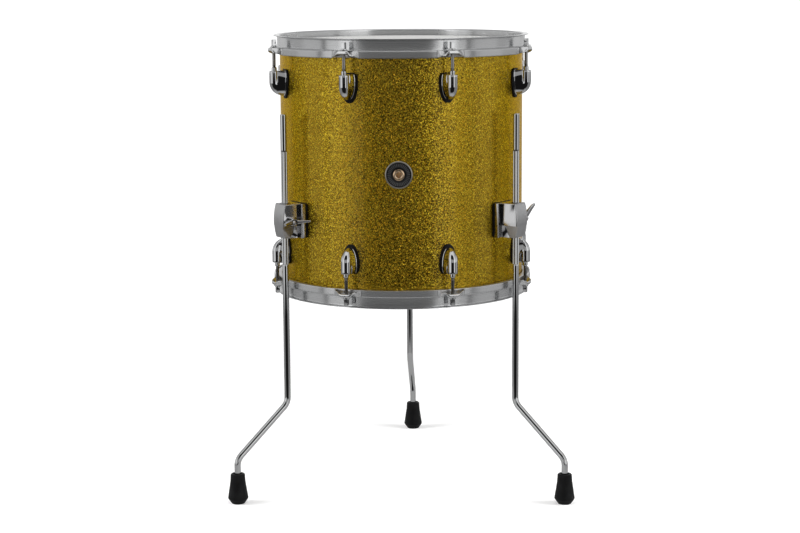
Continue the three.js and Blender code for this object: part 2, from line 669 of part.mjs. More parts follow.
// The leg's centre line, top to bottom, with both bends as arcs
function legPath() {
  const slant = Math.atan2(LEG_OFFSET, UPPER_BEND_HEIGHT - LOWER_BEND_HEIGHT)
  const tangent = BEND_RADIUS * Math.tan(slant / 2)
  const arcs = Array.from({ length: BEND_STEPS + 1 }, (_, k) => slant * k / BEND_STEPS)
  const upper = arcs.map((turn) => ({
    out: legCircle + BEND_RADIUS * (1 - Math.cos(turn)),
    height: UPPER_BEND_HEIGHT + tangent - BEND_RADIUS * Math.sin(turn),
    turn,
  }))
  const lower = arcs.map((turn) => ({
    out: footCircle - BEND_RADIUS * (1 - Math.cos(turn)),
    height: LOWER_BEND_HEIGHT - tangent + BEND_RADIUS * Math.sin(turn),
    turn,
  })).reverse()
  const straight = (height) => ({ out: legCircle, height, turn: 0 })
  const fluteTop = legTop - FLUTES_BELOW_LEG_TOP
  const fluteEnd = fluteTop - FLUTED_LENGTH
  return [
    { ...straight(legTop), radius: LEG_RADIUS - LEG_END_CHAMFER },
    straight(legTop - LEG_END_CHAMFER),
    straight(fluteTop),
    { ...straight(fluteTop - FLUTE_DEPTH), depth: FLUTE_DEPTH },
    { ...straight(fluteEnd + FLUTE_DEPTH), depth: FLUTE_DEPTH },
    straight(fluteEnd),
    ...upper,
    ...lower,
    { out: footCircle, height: FOOT_SOCKET_FLOOR + SEAT_GAP, turn: 0 },
  ]
}

function leg() {
  return lofted(legPath().map(({ out, height, turn, radius = LEG_RADIUS, depth = 0 }) =>
    Array.from({ length: LEG_FACETS }, (_, k) => {
      const angle = (2 * k + 1) * Math.PI / LEG_FACETS
      const local = radius - (k % 2) * depth
      const across = local * Math.sin(angle)
      const outwards = local * Math.cos(angle)
      return new THREE.Vector3(across, -out - outwards * Math.cos(turn), height + outwards * Math.sin(turn))
    })))
}

// A flared sole under a nearly straight neck, with a hollow lip round the leg
function foot() {
  return revolved([
    [0, 0],
    [FOOT_SOLE_RADIUS, 0],
    [FOOT_WIDEST_RADIUS, FOOT_WIDEST_HEIGHT],
    [FOOT_NECK_RADIUS, FOOT_NECK_HEIGHT],
    [FOOT_TOP_RADIUS, FOOT_HEIGHT - FOOT_RIM_ROUNDING],
    [FOOT_TOP_RADIUS - FOOT_RIM_ROUNDING, FOOT_HEIGHT],
    [FOOT_TOP_RADIUS - FOOT_RIM_ROUNDING - FOOT_RIM_WIDTH, FOOT_HEIGHT],
    [footSocket, FOOT_HEIGHT - FOOT_LIP_DEPTH],
    [footSocket, FOOT_SOCKET_FLOOR],
    [0, FOOT_SOCKET_FLOOR],
  ], FOOT_FACETS, Math.PI / FOOT_FACETS).translate(0, -footCircle, 0)
}

function badge() {
  const back = DRUM_RADIUS + SEAT_GAP
  const front = back + BADGE_THICKNESS
  const disc = radialPost(BADGE_RADIUS, flat(DRUM_RADIUS), front, BADGE_FACETS, middleHeight)
  const hole = radialPost(grommetTube + RUNNING_CLEARANCE, shellInner, front + CUT_OVERRUN, EYE_FACETS,
    middleHeight)
  return cut(common(disc, drumCore(front)), drumCore(back), hole)
}

function ventGrommet() {
  const outerSeat = flat(DRUM_RADIUS + SEAT_GAP + BADGE_THICKNESS) + SEAT_GAP
  const innerSeat = screwFace
  const innerEdge = innerSeat - GROMMET_FLANGE_THICKNESS
  const outerEdge = outerSeat + GROMMET_EDGE_THICKNESS
  return ring([
    [VENT_RADIUS, innerEdge],
    [GROMMET_FLANGE_RADIUS, innerEdge],
    [GROMMET_FLANGE_RADIUS, innerSeat],
    [grommetTube, innerSeat],
    [grommetTube, outerSeat],
    [GROMMET_FLANGE_RADIUS, outerSeat],
    [GROMMET_FLANGE_RADIUS, outerEdge],
    [grommetTube, outerSeat + GROMMET_FLANGE_THICKNESS],
    [VENT_RADIUS, outerEdge],
  ], EYE_FACETS, Math.PI / EYE_FACETS).rotateX(Math.PI / 2).translate(0, 0, middleHeight)
}

add("shell", cut(shell(), ...shellHoles()), looks.shell)
add("sparkle_wrap", cut(wrap(), ...shellHoles()), looks.wrap)
add("badge", badge(), looks.badge)
add("vent_grommet", ventGrommet(), looks.grommet)

for (const [word, side] of [["batter", 1], ["resonant", -1]]) {
  add(`${word}_film`, onHead(side, film()), looks.film)
  add(`${word}_flesh_hoop`, onHead(side, fleshHoop()), looks.aluminium)
}

for (const [word, side] of [["top", 1], ["bottom", -1]]) {
  add(`${word}_hoop`, onHead(side, hoop()), looks.chrome)
  rodAzimuths.forEach((azimuth, k) => {
    const height = middleHeight + side * lugCentre
    add(`${word}_lug_${k + 1}`, lug().scale(1, 1, side).translate(0, 0, height), looks.chrome, azimuth)
    add(`${word}_rod_${k + 1}`, onHead(side, tensionRod()), looks.chrome, azimuth)
  })
}

LEG_AZIMUTHS.forEach((azimuth, k) => {
  const name = LEG_NAMES[k]
  const lifted = (geometry) => geometry.translate(0, 0, bracketCentre)
  add(`${name}_bracket_gasket`, lifted(bracketGasket(azimuth)), looks.rubber, azimuth)
  add(`${name}_bracket`, lifted(bracket(azimuth)), looks.chrome, azimuth)
  add(`${name}_eye_bolt`, lifted(eyeBolt()), looks.chrome, azimuth)
  add(`${name}_wing_nut`, lifted(wingNut(WING_ANGLES[k])), looks.chrome, azimuth)
  add(`${name}_leg`, leg(), looks.chrome, azimuth)
  add(`${name}_foot`, foot(), looks.rubber, azimuth)
})

// The origin moves under the middle of the part's own box
const middle = new THREE.Box3().setFromObject(model, true).getCenter(new THREE.Vector3())
model.position.set(-middle.x, -middle.y, 0)

export default model
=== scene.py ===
import json
import math

import bpy
from mathutils import Matrix, Vector


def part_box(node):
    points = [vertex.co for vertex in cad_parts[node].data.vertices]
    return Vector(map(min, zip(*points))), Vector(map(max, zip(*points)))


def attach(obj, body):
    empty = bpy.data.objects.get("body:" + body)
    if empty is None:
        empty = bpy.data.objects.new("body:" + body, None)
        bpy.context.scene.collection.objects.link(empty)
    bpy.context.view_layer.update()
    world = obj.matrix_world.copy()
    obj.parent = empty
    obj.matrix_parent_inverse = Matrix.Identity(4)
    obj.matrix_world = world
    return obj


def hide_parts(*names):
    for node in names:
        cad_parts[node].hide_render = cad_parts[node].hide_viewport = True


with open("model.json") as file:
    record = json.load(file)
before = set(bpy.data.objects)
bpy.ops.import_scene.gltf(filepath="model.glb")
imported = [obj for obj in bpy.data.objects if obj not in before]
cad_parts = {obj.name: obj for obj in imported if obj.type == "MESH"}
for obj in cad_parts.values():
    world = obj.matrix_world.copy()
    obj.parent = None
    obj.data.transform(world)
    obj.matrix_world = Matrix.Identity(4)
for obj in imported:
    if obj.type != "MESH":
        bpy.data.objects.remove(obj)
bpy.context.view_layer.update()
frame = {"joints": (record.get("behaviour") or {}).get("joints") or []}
scene = bpy.context.scene
joints = {joint["name"]: joint for joint in frame["joints"]}

# Lengths are in metres. The drum's axis is upright, the front faces -Y, and an azimuth is
# counted from the front, anticlockwise as seen from above. A part is drawn at azimuth 0:
# x along the shell's tangent, -y outwards, z up, with the drum's axis at x = y = 0.
MM = 0.001
DRUM_FACETS = 48
CLEARANCE = 0.3 * MM
# How near an extra point stands to each end of a flat stretch, so that it shades flat
HOLD = 0.35 * MM
# How far a cutting tool reaches past what it cuts
PAST = 3 * MM
# Angle in degrees above which an edge shades sharp, and the same for rods and wings
SHARP_EDGE = 32
SHARP_EDGE_FINE = 40

# The camera that took the photograph
CAMERA_DISTANCE = 3.2
CAMERA_HEIGHT = 0.8825
CAMERA_AZIMUTH = 1.33
CAMERA_TILT = 9.23
CAMERA_PAN = -0.07
CAMERA_ROLL = 0.35
CAMERA_LENS = 85.73
CAMERA_SENSOR = 36.0

# Shell, wrap and heads
SHELL_WALL = 6.5 * MM
CREST_INSET = 1.9 * MM
BEARING_BEVEL = 4.6 * MM
WRAP_THICKNESS = 0.6 * MM
WRAP_EDGE = 0.25 * MM
VENT_HOLE = 6.4 * MM
FILM_THICKNESS = 0.3 * MM
FILM_BEND = 1.5 * MM
COLLAR_DROP = 3.4 * MM
COAT_EDGE = (12.5 * MM, 14 * MM)
COLLAR_LENGTH = 15.6 * MM
FLESH_DROP = 9.6 * MM
FLESH_WIDTH = 8.5 * MM
FLESH_HEIGHT = 9 * MM

# Hoops
HOOP_STEEL = 2.3 * MM
BAND_CLEARANCE = 1.2 * MM
BAND_HEIGHT = 18.2 * MM
LIP_WIDTH = 6.3 * MM
LIP_THINNING = 0.9 * MM
FLANGE_RADIUS = 216.35 * MM
HOOP_BEND = 2.2 * MM
SKIRT_LENGTH = 11.4 * MM
FOLD_ARC = 3.5 * MM
EAR_REACH = 12.4 * MM
EAR_LIP = 5 * MM
EAR_SLOPE = 50
EAR_FLAT = 6.5 * MM
EAR_CORNER = 18.5 * MM
EAR_FOOT = 24 * MM
FOLD_STEPS = 26
EAR_STEP = 0.8 * MM
HOOP_STEP = 4 * MM
HOOP_DRILL = (-6 * MM, 3 * MM)
HOOP_LINES = 900.0
HOOP_EAR_STARTS = (0.75, 0.95)

# Rods, even round the drum
ROD_COUNT = 8
FIRST_ROD = 22.5
ROD_RADIUS = 2.9 * MM
ROD_THREAD_DEPTH = 0.35 * MM
ROD_THREAD_PITCH = 1 * MM
ROD_THREAD_LENGTH = 30 * MM
WASHER_RADIUS = 6 * MM
WASHER_HEIGHT = 1.4 * MM
WASHER_EDGE = 0.4 * MM
KEY_FLANGE_RADIUS = 4.6 * MM
KEY_FLANGE_HEIGHT = 1.6 * MM
KEY_HALF_WIDTH = 3.2 * MM
KEY_CORNER = 0.5 * MM
KEY_CHAMFER = 0.7 * MM
KEY_HEIGHT = 9.7 * MM
ROD_HOLE = 3.3 * MM

# Lugs
LUG_FROM_MIDDLE = 138.3 * MM
LUG_HALF_HEIGHT = 21 * MM
LUG_BARREL = 8.2 * MM
LUG_TOP_ROUNDING = 1.8 * MM
LUG_TOP_DROP = 1.2 * MM
LUG_BASE = 11.6 * MM
LUG_BASE_TOP = 8.8 * MM
LUG_BASE_EDGE = 1.6 * MM
LUG_WIDEST = 9 * MM
LUG_POINT_POWER = 2.2
LUG_NECK_SHARE = 0.07
LUG_FLARE = 1.4
LUG_DOME_START = 25
LUG_NOSE_START = 2 * MM
LUG_NOSE_POWER = 2.1
LUG_NOSE_TAPER = 1.25
LUG_VALLEY = (-4 * MM, 15 * MM)
LUG_GASKET = 2.2 * MM
LUG_GASKET_MARGIN = 3.2 * MM
LUG_GASKET_TOP_SHARE = 0.4
LUG_GASKET_POINT = 1.2 * MM
LUG_GASKET_CORNER = 4 * MM
PAD_EDGE = 0.5 * MM
SLEEVE_RADIUS = 4.3 * MM
SLEEVE_HEIGHT = 5 * MM
SLEEVE_MOUTH = 3.2 * MM
SLEEVE_MOUTH_DEPTH = 3 * MM
SCREW_HEAD_RADIUS = 4.6 * MM
SCREW_HEAD_HEIGHT = 3 * MM
SCREW_SLOT_RADIUS = 1.2 * MM
SCREW_WASHER_MARGIN = 1.6 * MM
SCREW_WASHER_HEIGHT = 0.8 * MM

# Brackets
BRACKET_HALF_HEIGHT = 28 * MM
BRACKET_HALF_WIDTH = 15.5 * MM
BRACKET_BASE_HALF = 25.8 * MM
BRACKET_BASE_THICKNESS = 5.4 * MM
BRACKET_BASE_BLANK = 8 * MM
BRACKET_OVERLAP = 6 * MM
BRACKET_CHAMFER = 0.9 * MM
BRACKET_BASE_ROUND = 0.6 * MM
BRACKET_ROUND = 1.7 * MM
BRACKET_REACH = 12.5 * MM
BRACKET_DRAFT = 0.045
BRACKET_RISE = 4.2 * MM
BRACKET_GASKET = 2.5 * MM
BRACKET_GASKET_MARGIN = 1.8 * MM
BRACKET_GASKET_MARGIN_ABOVE = 0.5 * MM
BRACKET_GASKET_CORNER = 6 * MM
BRACKET_SCREW_RADIUS = 5.2 * MM
BRACKET_SCREWS = (-19 * MM, 19 * MM)
SATIN_FACING = 0.8
SATIN_CHIN = 5 * MM
CHIN_TOP = -8.5 * MM
CHIN_STEP = 1.5 * MM
SEAM_WIDTH = 1.3 * MM
SEAM_SHARES = (0.16, 0.48)
OPENING_HALF = 8 * MM
OPENING_WALL = 2 * MM
POCKET_RADIUS = 10.85 * MM
POCKET_HALF = 5.1 * MM
LEG_BORE = 5.6 * MM
BOLT_HOLE = 3.35 * MM

# Eye bolts and wing nuts
SIDES = ("left", "right", "back")
WING_ANGLES = {"left": 4, "right": -68, "back": 35}
EYE_INNER = 6.55 * MM
EYE_OUTER = 9.55 * MM
EYE_HALF = 3.8 * MM
EYE_SHIFT = 1 * MM
EYE_EDGE = 0.5 * MM
BOLT_RADIUS = 3 * MM
BOLT_THREAD_DEPTH = 0.3 * MM
BOLT_THREAD_PITCH = 1 * MM
BOLT_PAST_NUT = 3 * MM
BOLT_IN_EYE = 2.1 * MM
NUT_SEAT = 15.8 * MM
HUB_RADIUS = 7 * MM
HUB_LENGTH = 14 * MM
WING_HALF_SPAN = 25 * MM
WING_REACH = 30 * MM
WING_TIP_WIDTH = 8.5 * MM
WING_THICKNESS = 4.6 * MM
WING_SWELL = 2.4 * MM
WING_ROOT = 4.8 * MM
WING_START = 0.28
WING_LOW_CURVE = 1.5
WING_HIGH_CURVE = 0.9
WING_TIP_START = 0.8
WING_SQUARENESS = 0.7

# Legs and feet
LEG_RADIUS = 5.25 * MM
LEG_OFFSET = 96 * MM
UPPER_BEND_HEIGHT = 156 * MM
LOWER_BEND_HEIGHT = 73 * MM
BEND_RADIUS = 22 * MM
FLUTES_BELOW_TOP = 58.5 * MM
FLUTED_LENGTH = 189 * MM
FLUTE_DEPTH = 0.5 * MM
FLUTES = 16
FLUTE_CURVE = 0.6
FLUTE_FADE = 2.5 * MM
LEG_TOP_ROUND = 1.2 * MM
LEG_END = 18.3 * MM
# Radius, height and bend, in millimetres
FOOT_PROFILE = (
    (0, 0.6, 0), (8.6, 0.6, 0.3), (9.2, 0, 0.3), (10.5, 0, 1.2), (16.8, 9, 2.2), (12.4, 37, 14),
    (11.7, 48.4, 0.6), (10.2, 50, 0.7), (8, 50, 0.8), (5.55, 47, 0.4), (5.55, 18, 0), (0, 18, 0),
)

# Badge and vent
BADGE_RADIUS = 21.8 * MM
BADGE_HOLE = 6.75 * MM
BADGE_THICKNESS = 0.9 * MM
BADGE_RIM = 1.9 * MM
BADGE_RIM_HEIGHT = 1.3 * MM
BADGE_MARKS = 36
BADGE_MARK_BAND = (12.4 * MM, 18.1 * MM)
BADGE_BLEND = 0.1 * MM
VENT_BORE = 4.4 * MM
VENT_TUBE = 6.2 * MM
VENT_FLANGE = 9.2 * MM

# The sparkle's flakes
FLAKE_SIZE = 1.2 * MM
FLAKE_PATCH = 5 * MM
FLAKE_PATCH_TONE = 0.2
FLAKE_TONE_DROP = 0.06
FLAKE_RARITY = 2.2
FLAKE_LEAN = 0.21
FLAKE_STRAY = 1.1
FLAKE_STRAY_RARITY = 4.0
# Dark and bright flake colours: a random tone per flake, partly painted glint that stands in for the shine
# a real flake gets from its tilt
FLAKE_DARK = (0.30, 0.18, 0.010)
FLAKE_BRIGHT = (0.76, 0.57, 0.046)
FLAKE_AMBER = (0.62, 0.33, 0.02)

# Lamps: azimuth, height, distance, width, height of the panel and power
LAMPS = {
    "left_lamp": (-80, 0.95, 1.9, 1.2, 1.7, 56),
    "right_lamp": (80, 0.95, 1.9, 1.2, 1.7, 56),
    "top_lamp": (0, 2.6, 0.6, 1.6, 1.2, 8),
}
LAMP_AIM = 0.5
RAYS = ("Camera", "Glossy", "Transmission")
# The room that metal mirrors. Its levels go by azimuth from the front, and the other pairs
# are the heights of the view, from -1 straight down to 1 straight up, between which it changes.
ROOM_WALLS = (
    (-180, 1.00), (-170, 0.95), (-163, 0.60), (-130, 0.68), (-100, 0.75), (-76.5, 0.75), (-75.5, 0.08),
    (-72, 0.08), (-71, 1.05), (-46, 1.10), (-42, 0.40), (30, 0.40), (35, 1.15), (63.5, 1.10), (64.5, 0.08),
    (68, 0.08), (69, 0.75), (100, 0.75), (130, 0.68), (163, 0.60), (170, 0.95), (180, 1.00),
)
# Below the horizon
ROOM_LOW = (
    (-180, 0.80), (-163, 0.50), (-128, 0.55), (-122, 0.09), (-102, 0.09), (-98, 0.66), (-76.5, 0.66),
    (-75.5, 0.08), (-72, 0.08), (-71, 0.92), (-38, 0.92), (-32, 0.01), (28, 0.01), (34, 0.95),
    (52, 0.90), (55, 0.07), (72, 0.07), (76, 0.60), (98, 0.60), (102, 0.09), (122, 0.09), (128, 0.55),
    (163, 0.50), (180, 0.80),
)
# Further down, where the floor is no longer seen
ROOM_DEEP = ((-180, 0.26), (-54, 0.26), (-48, 0.01), (44, 0.01), (50, 0.26), (180, 0.26))
# What is left of the walls under the ceiling
ROOM_MIDDLE = (
    (-180, 0.6), (-110, 0.6), (-45, 1.0), (-40, 0.05), (30, 0.05), (35, 1.0), (110, 0.6), (180, 0.6),
)
ROOM_DROP = (-0.185, -0.165)
ROOM_FALL = (-0.061, -0.054)
ROOM_CLIMB = (0.25, 0.4)
ROOM_RISE = (0.78, 0.9)
ROOM_ABOVE = 0.90
# What lights dull surfaces from all round
ROOM_LIGHT = 0.24

# The floor. The pairs are distances from the drum between which it changes.
FLOOR_HALF = 60.0
FLOOR_TONE = (0.86, 0.86, 0.86)
FLOOR_IN_METAL = (0.20, 0.20, 0.20)
FLOOR_FAR_IN_METAL = (0.01, 0.01, 0.01)
FLOOR_NEAR = (2.2, 2.4)
FLOOR_FRONT = (0.62, 0.72)
FLOOR_FADE = (0.4, 0.8)
FLOOR_FAR = (0.9, 2.2)
FLOOR_GLOW = 0.25
FLOOR_FAR_GLOW = 1.0
FLOOR_SEEN_IN_METAL = 0.26

# Places that come from the frame
wrap_low, wrap_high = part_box("sparkle_wrap")
shell_low, shell_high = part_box("shell")
hoop_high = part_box("top_hoop")[1]
AXIS = Vector(((wrap_low.x + wrap_high.x) / 2, (wrap_low.y + wrap_high.y) / 2, 0))


def corner_radius(node):
    """The radius of the circle through a drum ring's corners."""
    low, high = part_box(node)
    return (high.x - low.x) / 2 / math.cos(math.pi / DRUM_FACETS)


wrap_radius = corner_radius("sparkle_wrap")
shell_radius = corner_radius("shell")
film_radius = corner_radius("batter_film")
middle_height = (shell_low.z + shell_high.z) / 2
shelf_height = hoop_high.z - BAND_HEIGHT
lug_back = wrap_radius + CLEARANCE + LUG_GASKET
bracket_back = wrap_radius + 2 * CLEARANCE + BRACKET_GASKET


def polar(joint):
    """Distance from the drum's axis, azimuth in radians and height of a joint."""
    place = Vector(joints[joint]["pos_m"]) - AXIS
    return math.hypot(place.x, place.y), math.atan2(place.x, -place.y), place.z


rod_circle = polar("top_rod_1_turn")[0]
leg_circle = polar("left_wing_turn")[0]
rod_turns = [math.radians(FIRST_ROD + 360 / ROD_COUNT * k) for k in range(ROD_COUNT)]


# Solids are pairs of points and faces, with the faces pointing out
def outward(points, faces):
    volume = 0
    for face in faces:
        for k in range(1, len(face) - 1):
            a, b, c = (points[i] for i in (face[0], face[k], face[k + 1]))
            volume += a.dot(b.cross(c))
    if volume < 0:
        faces = [tuple(reversed(face)) for face in faces]
    return points, faces


def skinned(rings, loop=False, hubs=None):
    """Rings of points joined up, and then round on themselves or closed by a fan at each end."""
    count = len(rings[0])
    points = [Vector(point) for ring in rings for point in ring]
    faces = []
    for level in range(len(rings) if loop else len(rings) - 1):
        low = level * count
        high = (level + 1) % len(rings) * count
        for k in range(count):
            after = (k + 1) % count
            faces.append((low + k, low + after, high + after, high + k))
    if not loop:
        last = (len(rings) - 1) * count
        for end, start, turn in ((0, 0, -1), (1, last, 1)):
            middle = hubs[end] if hubs else sum(points[start:start + count], Vector()) / count
            points.append(middle)
            hub = len(points) - 1
            for k in range(count):
                edge = (start + k, start + (k + 1) % count)
                faces.append((hub, *edge[::turn]))
    return outward(points, faces)


def round_turn(count):
    """Angles even round a full turn."""
    return [2 * math.pi * k / count for k in range(count)]


def turned(profile, segments, hollow=False):
    """A profile of (radius, height) points turned about z. A hollow one closes on itself."""
    rings = [
        [(radius * math.cos(angle), radius * math.sin(angle), height) for angle in round_turn(segments)]
        for radius, height in (profile if hollow else profile[1:-1])
    ]
    hubs = None if hollow else [Vector((0, 0, height)) for _, height in (profile[0], profile[-1])]
    return skinned(rings, hollow, hubs)


def post(radius, low, high, segments=48):
    return turned([(0, low), (radius, low), (radius, high), (0, high)], segments)


def merged(*solids):
    points = []
    faces = []
    for some, theirs in solids:
        start = len(points)
        points.extend(some)
        faces.extend(tuple(start + k for k in face) for face in theirs)
    return points, faces


def moved(solid, matrix):
    points, faces = solid
    return outward([matrix @ point for point in points], faces)


def shifted(solid, x=0, y=0, z=0):
    return moved(solid, Matrix.Translation((x, y, z)))


def lying_out(solid):
    """A solid drawn up the z axis, laid along the radius, outwards."""
    return moved(solid, Matrix.Rotation(math.pi / 2, 4, "X"))


def lying_across(solid):
    """A solid drawn up the z axis, laid along the tangent, anticlockwise."""
    return moved(solid, Matrix.Rotation(math.pi / 2, 4, "Y"))


def around(azimuth, height=0):
    """From a part's own place at azimuth 0 to its place on the drum."""
    return Matrix.Translation(AXIS + Vector((0, 0, height))) @ Matrix.Rotation(azimuth, 4, "Z")


def ends(height):
    """The word for each end of the drum, and the place of a part drawn for the upper end."""
    for word, side in (("top", 1), ("bottom", -1)):
        level = middle_height + side * (height - middle_height)
        yield word, side, level, Matrix.Diagonal((1, 1, side, 1))


def held(line, closed):
    """The line with points near both ends of its long stretches, which keep these flat."""
    full = []
    for k, here in enumerate(line):
        full.append(here)
        if k == len(line) - 1 and not closed:
            break
        start = Vector(here)
        along = Vector(line[(k + 1) % len(line)]) - start
        if along.length > 3 * HOLD:
            full.append(tuple(start + along.normalized() * HOLD))
            full.append(tuple(start + along - along.normalized() * HOLD))
    return full


def rounded(corners, closed=False, steps=5):
    """A line through (x, y, radius) corners, with each corner that has a radius drawn round."""
    line = []
    count = len(corners)
    for k, (x, y, radius) in enumerate(corners):
        here = Vector((x, y))
        if radius == 0 or (not closed and k in (0, count - 1)):
            line.append((x, y))
            continue
        before = Vector(corners[k - 1][:2]) - here
        after = Vector(corners[(k + 1) % count][:2]) - here
        turn = math.pi - before.angle(after)
        reach = radius * math.tan(min(turn, 3) / 2)
        start = here + before.normalized() * min(reach, before.length * 0.49)
        end = here + after.normalized() * min(reach, after.length * 0.49)
        for step in range(steps + 1):
            t = step / steps
            line.append(tuple(start * (1 - t) ** 2 + here * 2 * t * (1 - t) + end * t ** 2))
    return held(line, closed)


def mesh_of(name, shape):
    """A mesh from a solid. A mesh stays as it is."""
    if isinstance(shape, bpy.types.Mesh):
        return shape
    mesh = bpy.data.meshes.new(name)
    mesh.from_pydata([tuple(point) for point in shape[0]], [], shape[1])
    mesh.update()
    return mesh


def smoothed(mesh, sharp):
    mesh.polygons.foreach_set("use_smooth", [True] * len(mesh.polygons))
    mesh.set_sharp_from_angle(angle=math.radians(sharp))


def placed(name, data):
    made = bpy.data.objects.new(name, data)
    scene.collection.objects.link(made)
    return made


def piece(name, shape, finish, body, nodes, sharp=SHARP_EDGE):
    """A finished piece that rides on its body and stands for its nodes."""
    mesh = mesh_of(name, shape)
    mesh.name = name
    smoothed(mesh, sharp)
    if not mesh.materials:
        mesh.materials.append(finishes[finish])
    made = placed(name, mesh)
    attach(made, body)
    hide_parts(*nodes)


def settled(worked, *helpers):
    """The plain mesh that an object's modifiers give. The object and its helpers go."""
    graph = bpy.context.evaluated_depsgraph_get()
    mesh = bpy.data.meshes.new_from_object(worked.evaluated_get(graph))
    for thing in (worked, *helpers):
        bpy.data.objects.remove(thing)
    return mesh


def modifier(worked, kind, **settings):
    step = worked.modifiers.new("step", kind)
    for name, value in settings.items():
        setattr(step, name, value)
    return step


def combined(shape, others, operation):
    """One solid with others joined to it or cut from it, one after another."""
    worked = placed("worked", mesh_of("worked", shape))
    helpers = [placed("helper", mesh_of("helper", other)) for other in others]
    for helper in helpers:
        modifier(worked, "BOOLEAN", operation=operation, solver="EXACT", object=helper)
    return settled(worked, *helpers)


def bevelled(shape, width):
    worked = placed("worked", mesh_of("worked", shape))
    modifier(worked, "BEVEL", width=width, segments=3, limit_method="ANGLE", angle_limit=math.radians(30))
    return settled(worked)


def flat_faced(mesh):
    """The mesh with its shading weighted by area, so that wide faces read as flat."""
    smoothed(mesh, SHARP_EDGE)
    worked = placed("worked", mesh)
    modifier(worked, "WEIGHTED_NORMAL", keep_sharp=True, weight=100)
    return settled(worked)


def transformed(mesh, matrix):
    mesh.transform(matrix)
    mesh.update()
    return mesh


class Signal:
    """A socket in a material's nodes, so that sums over a surface read as plain sums."""

    def __init__(self, tree, socket=None):
        self.tree = tree
        self.socket = socket

    def node(self, kind, settings=None, values=None, output=0):
        made = self.tree.nodes.new(kind)
        for name, value in (settings or {}).items():
            if name == "stops":
                while len(made.color_ramp.elements) < len(value):
                    made.color_ramp.elements.new(1)
                for element, (place, colour) in zip(made.color_ramp.elements, value):
                    element.position = place
                    element.color = (*colour, 1)
            else:
                setattr(made, name, value)
        for name, value in (values or {}).items():
            socket = made.inputs[name]
            if isinstance(value, Signal):
                self.tree.links.new(value.socket, socket)
            elif isinstance(value, tuple) and len(value) == 3 and socket.type == "RGBA":
                socket.default_value = (*value, 1)
            else:
                socket.default_value = value
        return Signal(self.tree, made.outputs[output])

    def maths(self, operation, *values, clamp=False):
        settings = {"operation": operation, "use_clamp": clamp}
        return self.node("ShaderNodeMath", settings, dict(enumerate(values)))

    def __add__(self, other):
        return self.maths("ADD", self, other)

    def __sub__(self, other):
        return self.maths("SUBTRACT", self, other)

    def __rsub__(self, other):
        return self.maths("SUBTRACT", other, self)

    def __mul__(self, other):
        return self.maths("MULTIPLY", self, other)

    def __truediv__(self, other):
        return self.maths("DIVIDE", self, other)

    def __pow__(self, other):
        return self.maths("POWER", self, other)

    __radd__ = __add__
    __rmul__ = __mul__

    def clipped(self):
        return self.maths("ADD", self, 0.0, clamp=True)

    def step(self, low, high):
        """0 below low, 1 above high and even in between."""
        values = {"Value": self, "From Min": low, "From Max": high}
        return self.node("ShaderNodeMapRange", {"clamp": True}, values)

    def curve(self, stops):
        """A level that follows (azimuth, level) stops, where this is a share of a turn."""
        ramp = [(0.5 + place / 360, (level, level, level)) for place, level in stops]
        return self.node("ShaderNodeValToRGB", {"stops": ramp}, {0: self})

    def vector(self, operation, *values):
        return self.node("ShaderNodeVectorMath", {"operation": operation}, dict(enumerate(values)))

    def parts(self):
        return [self.node("ShaderNodeSeparateXYZ", None, {0: self}, k) for k in range(3)]

    def mixed(self, first, second):
        """A colour that goes from the first to the second as this goes from 0 to 1."""
        settings = {"data_type": "RGBA"}
        values = {"Factor": self, 6: first, 7: second}
        return self.node("ShaderNodeMix", settings, values, 2)


class Finish:
    """A material, with the nodes that its surface is worked out from."""

    def __init__(self, name, **sockets):
        self.material = bpy.data.materials.new(name)
        self.material.use_nodes = True
        self.tree = self.material.node_tree
        self.shader = self.tree.nodes["Principled BSDF"]
        self.signal = Signal(self.tree)
        self.place = self.signal.node("ShaderNodeTexCoord", output=3)
        self.set(**sockets)

    def set(self, **sockets):
        for name, value in sockets.items():
            socket = self.shader.inputs[name.replace("_", " ").title().replace("Ior", "IOR")]
            if isinstance(value, Signal):
                self.tree.links.new(value.socket, socket)
            elif isinstance(value, tuple):
                socket.default_value = (*value, 1)
            else:
                socket.default_value = value

    def on_drum(self):
        """The place from the drum's axis, as x, y and z, and its distance from the axis."""
        x, y, z = self.place.vector("SUBTRACT", self.place, tuple(AXIS)).parts()
        return x, y, z, (x * x + y * y) ** 0.5

    def along(self, **axes):
        """A place that changes only along the given axes, for lines and grain."""
        values = {name.upper(): value for name, value in axes.items()}
        return self.signal.node("ShaderNodeCombineXYZ", None, values)

    def noise(self, size, detail=2.0, roughness=0.5, place=None):
        values = {
            "Vector": place or self.place, "Scale": 1 / size, "Detail": detail, "Roughness": roughness}
        return self.signal.node("ShaderNodeTexNoise", None, values)

    def bump(self, height, distance):
        values = {"Height": height, "Distance": distance, "Strength": 1.0}
        self.set(Normal=self.signal.node("ShaderNodeBump", None, values))


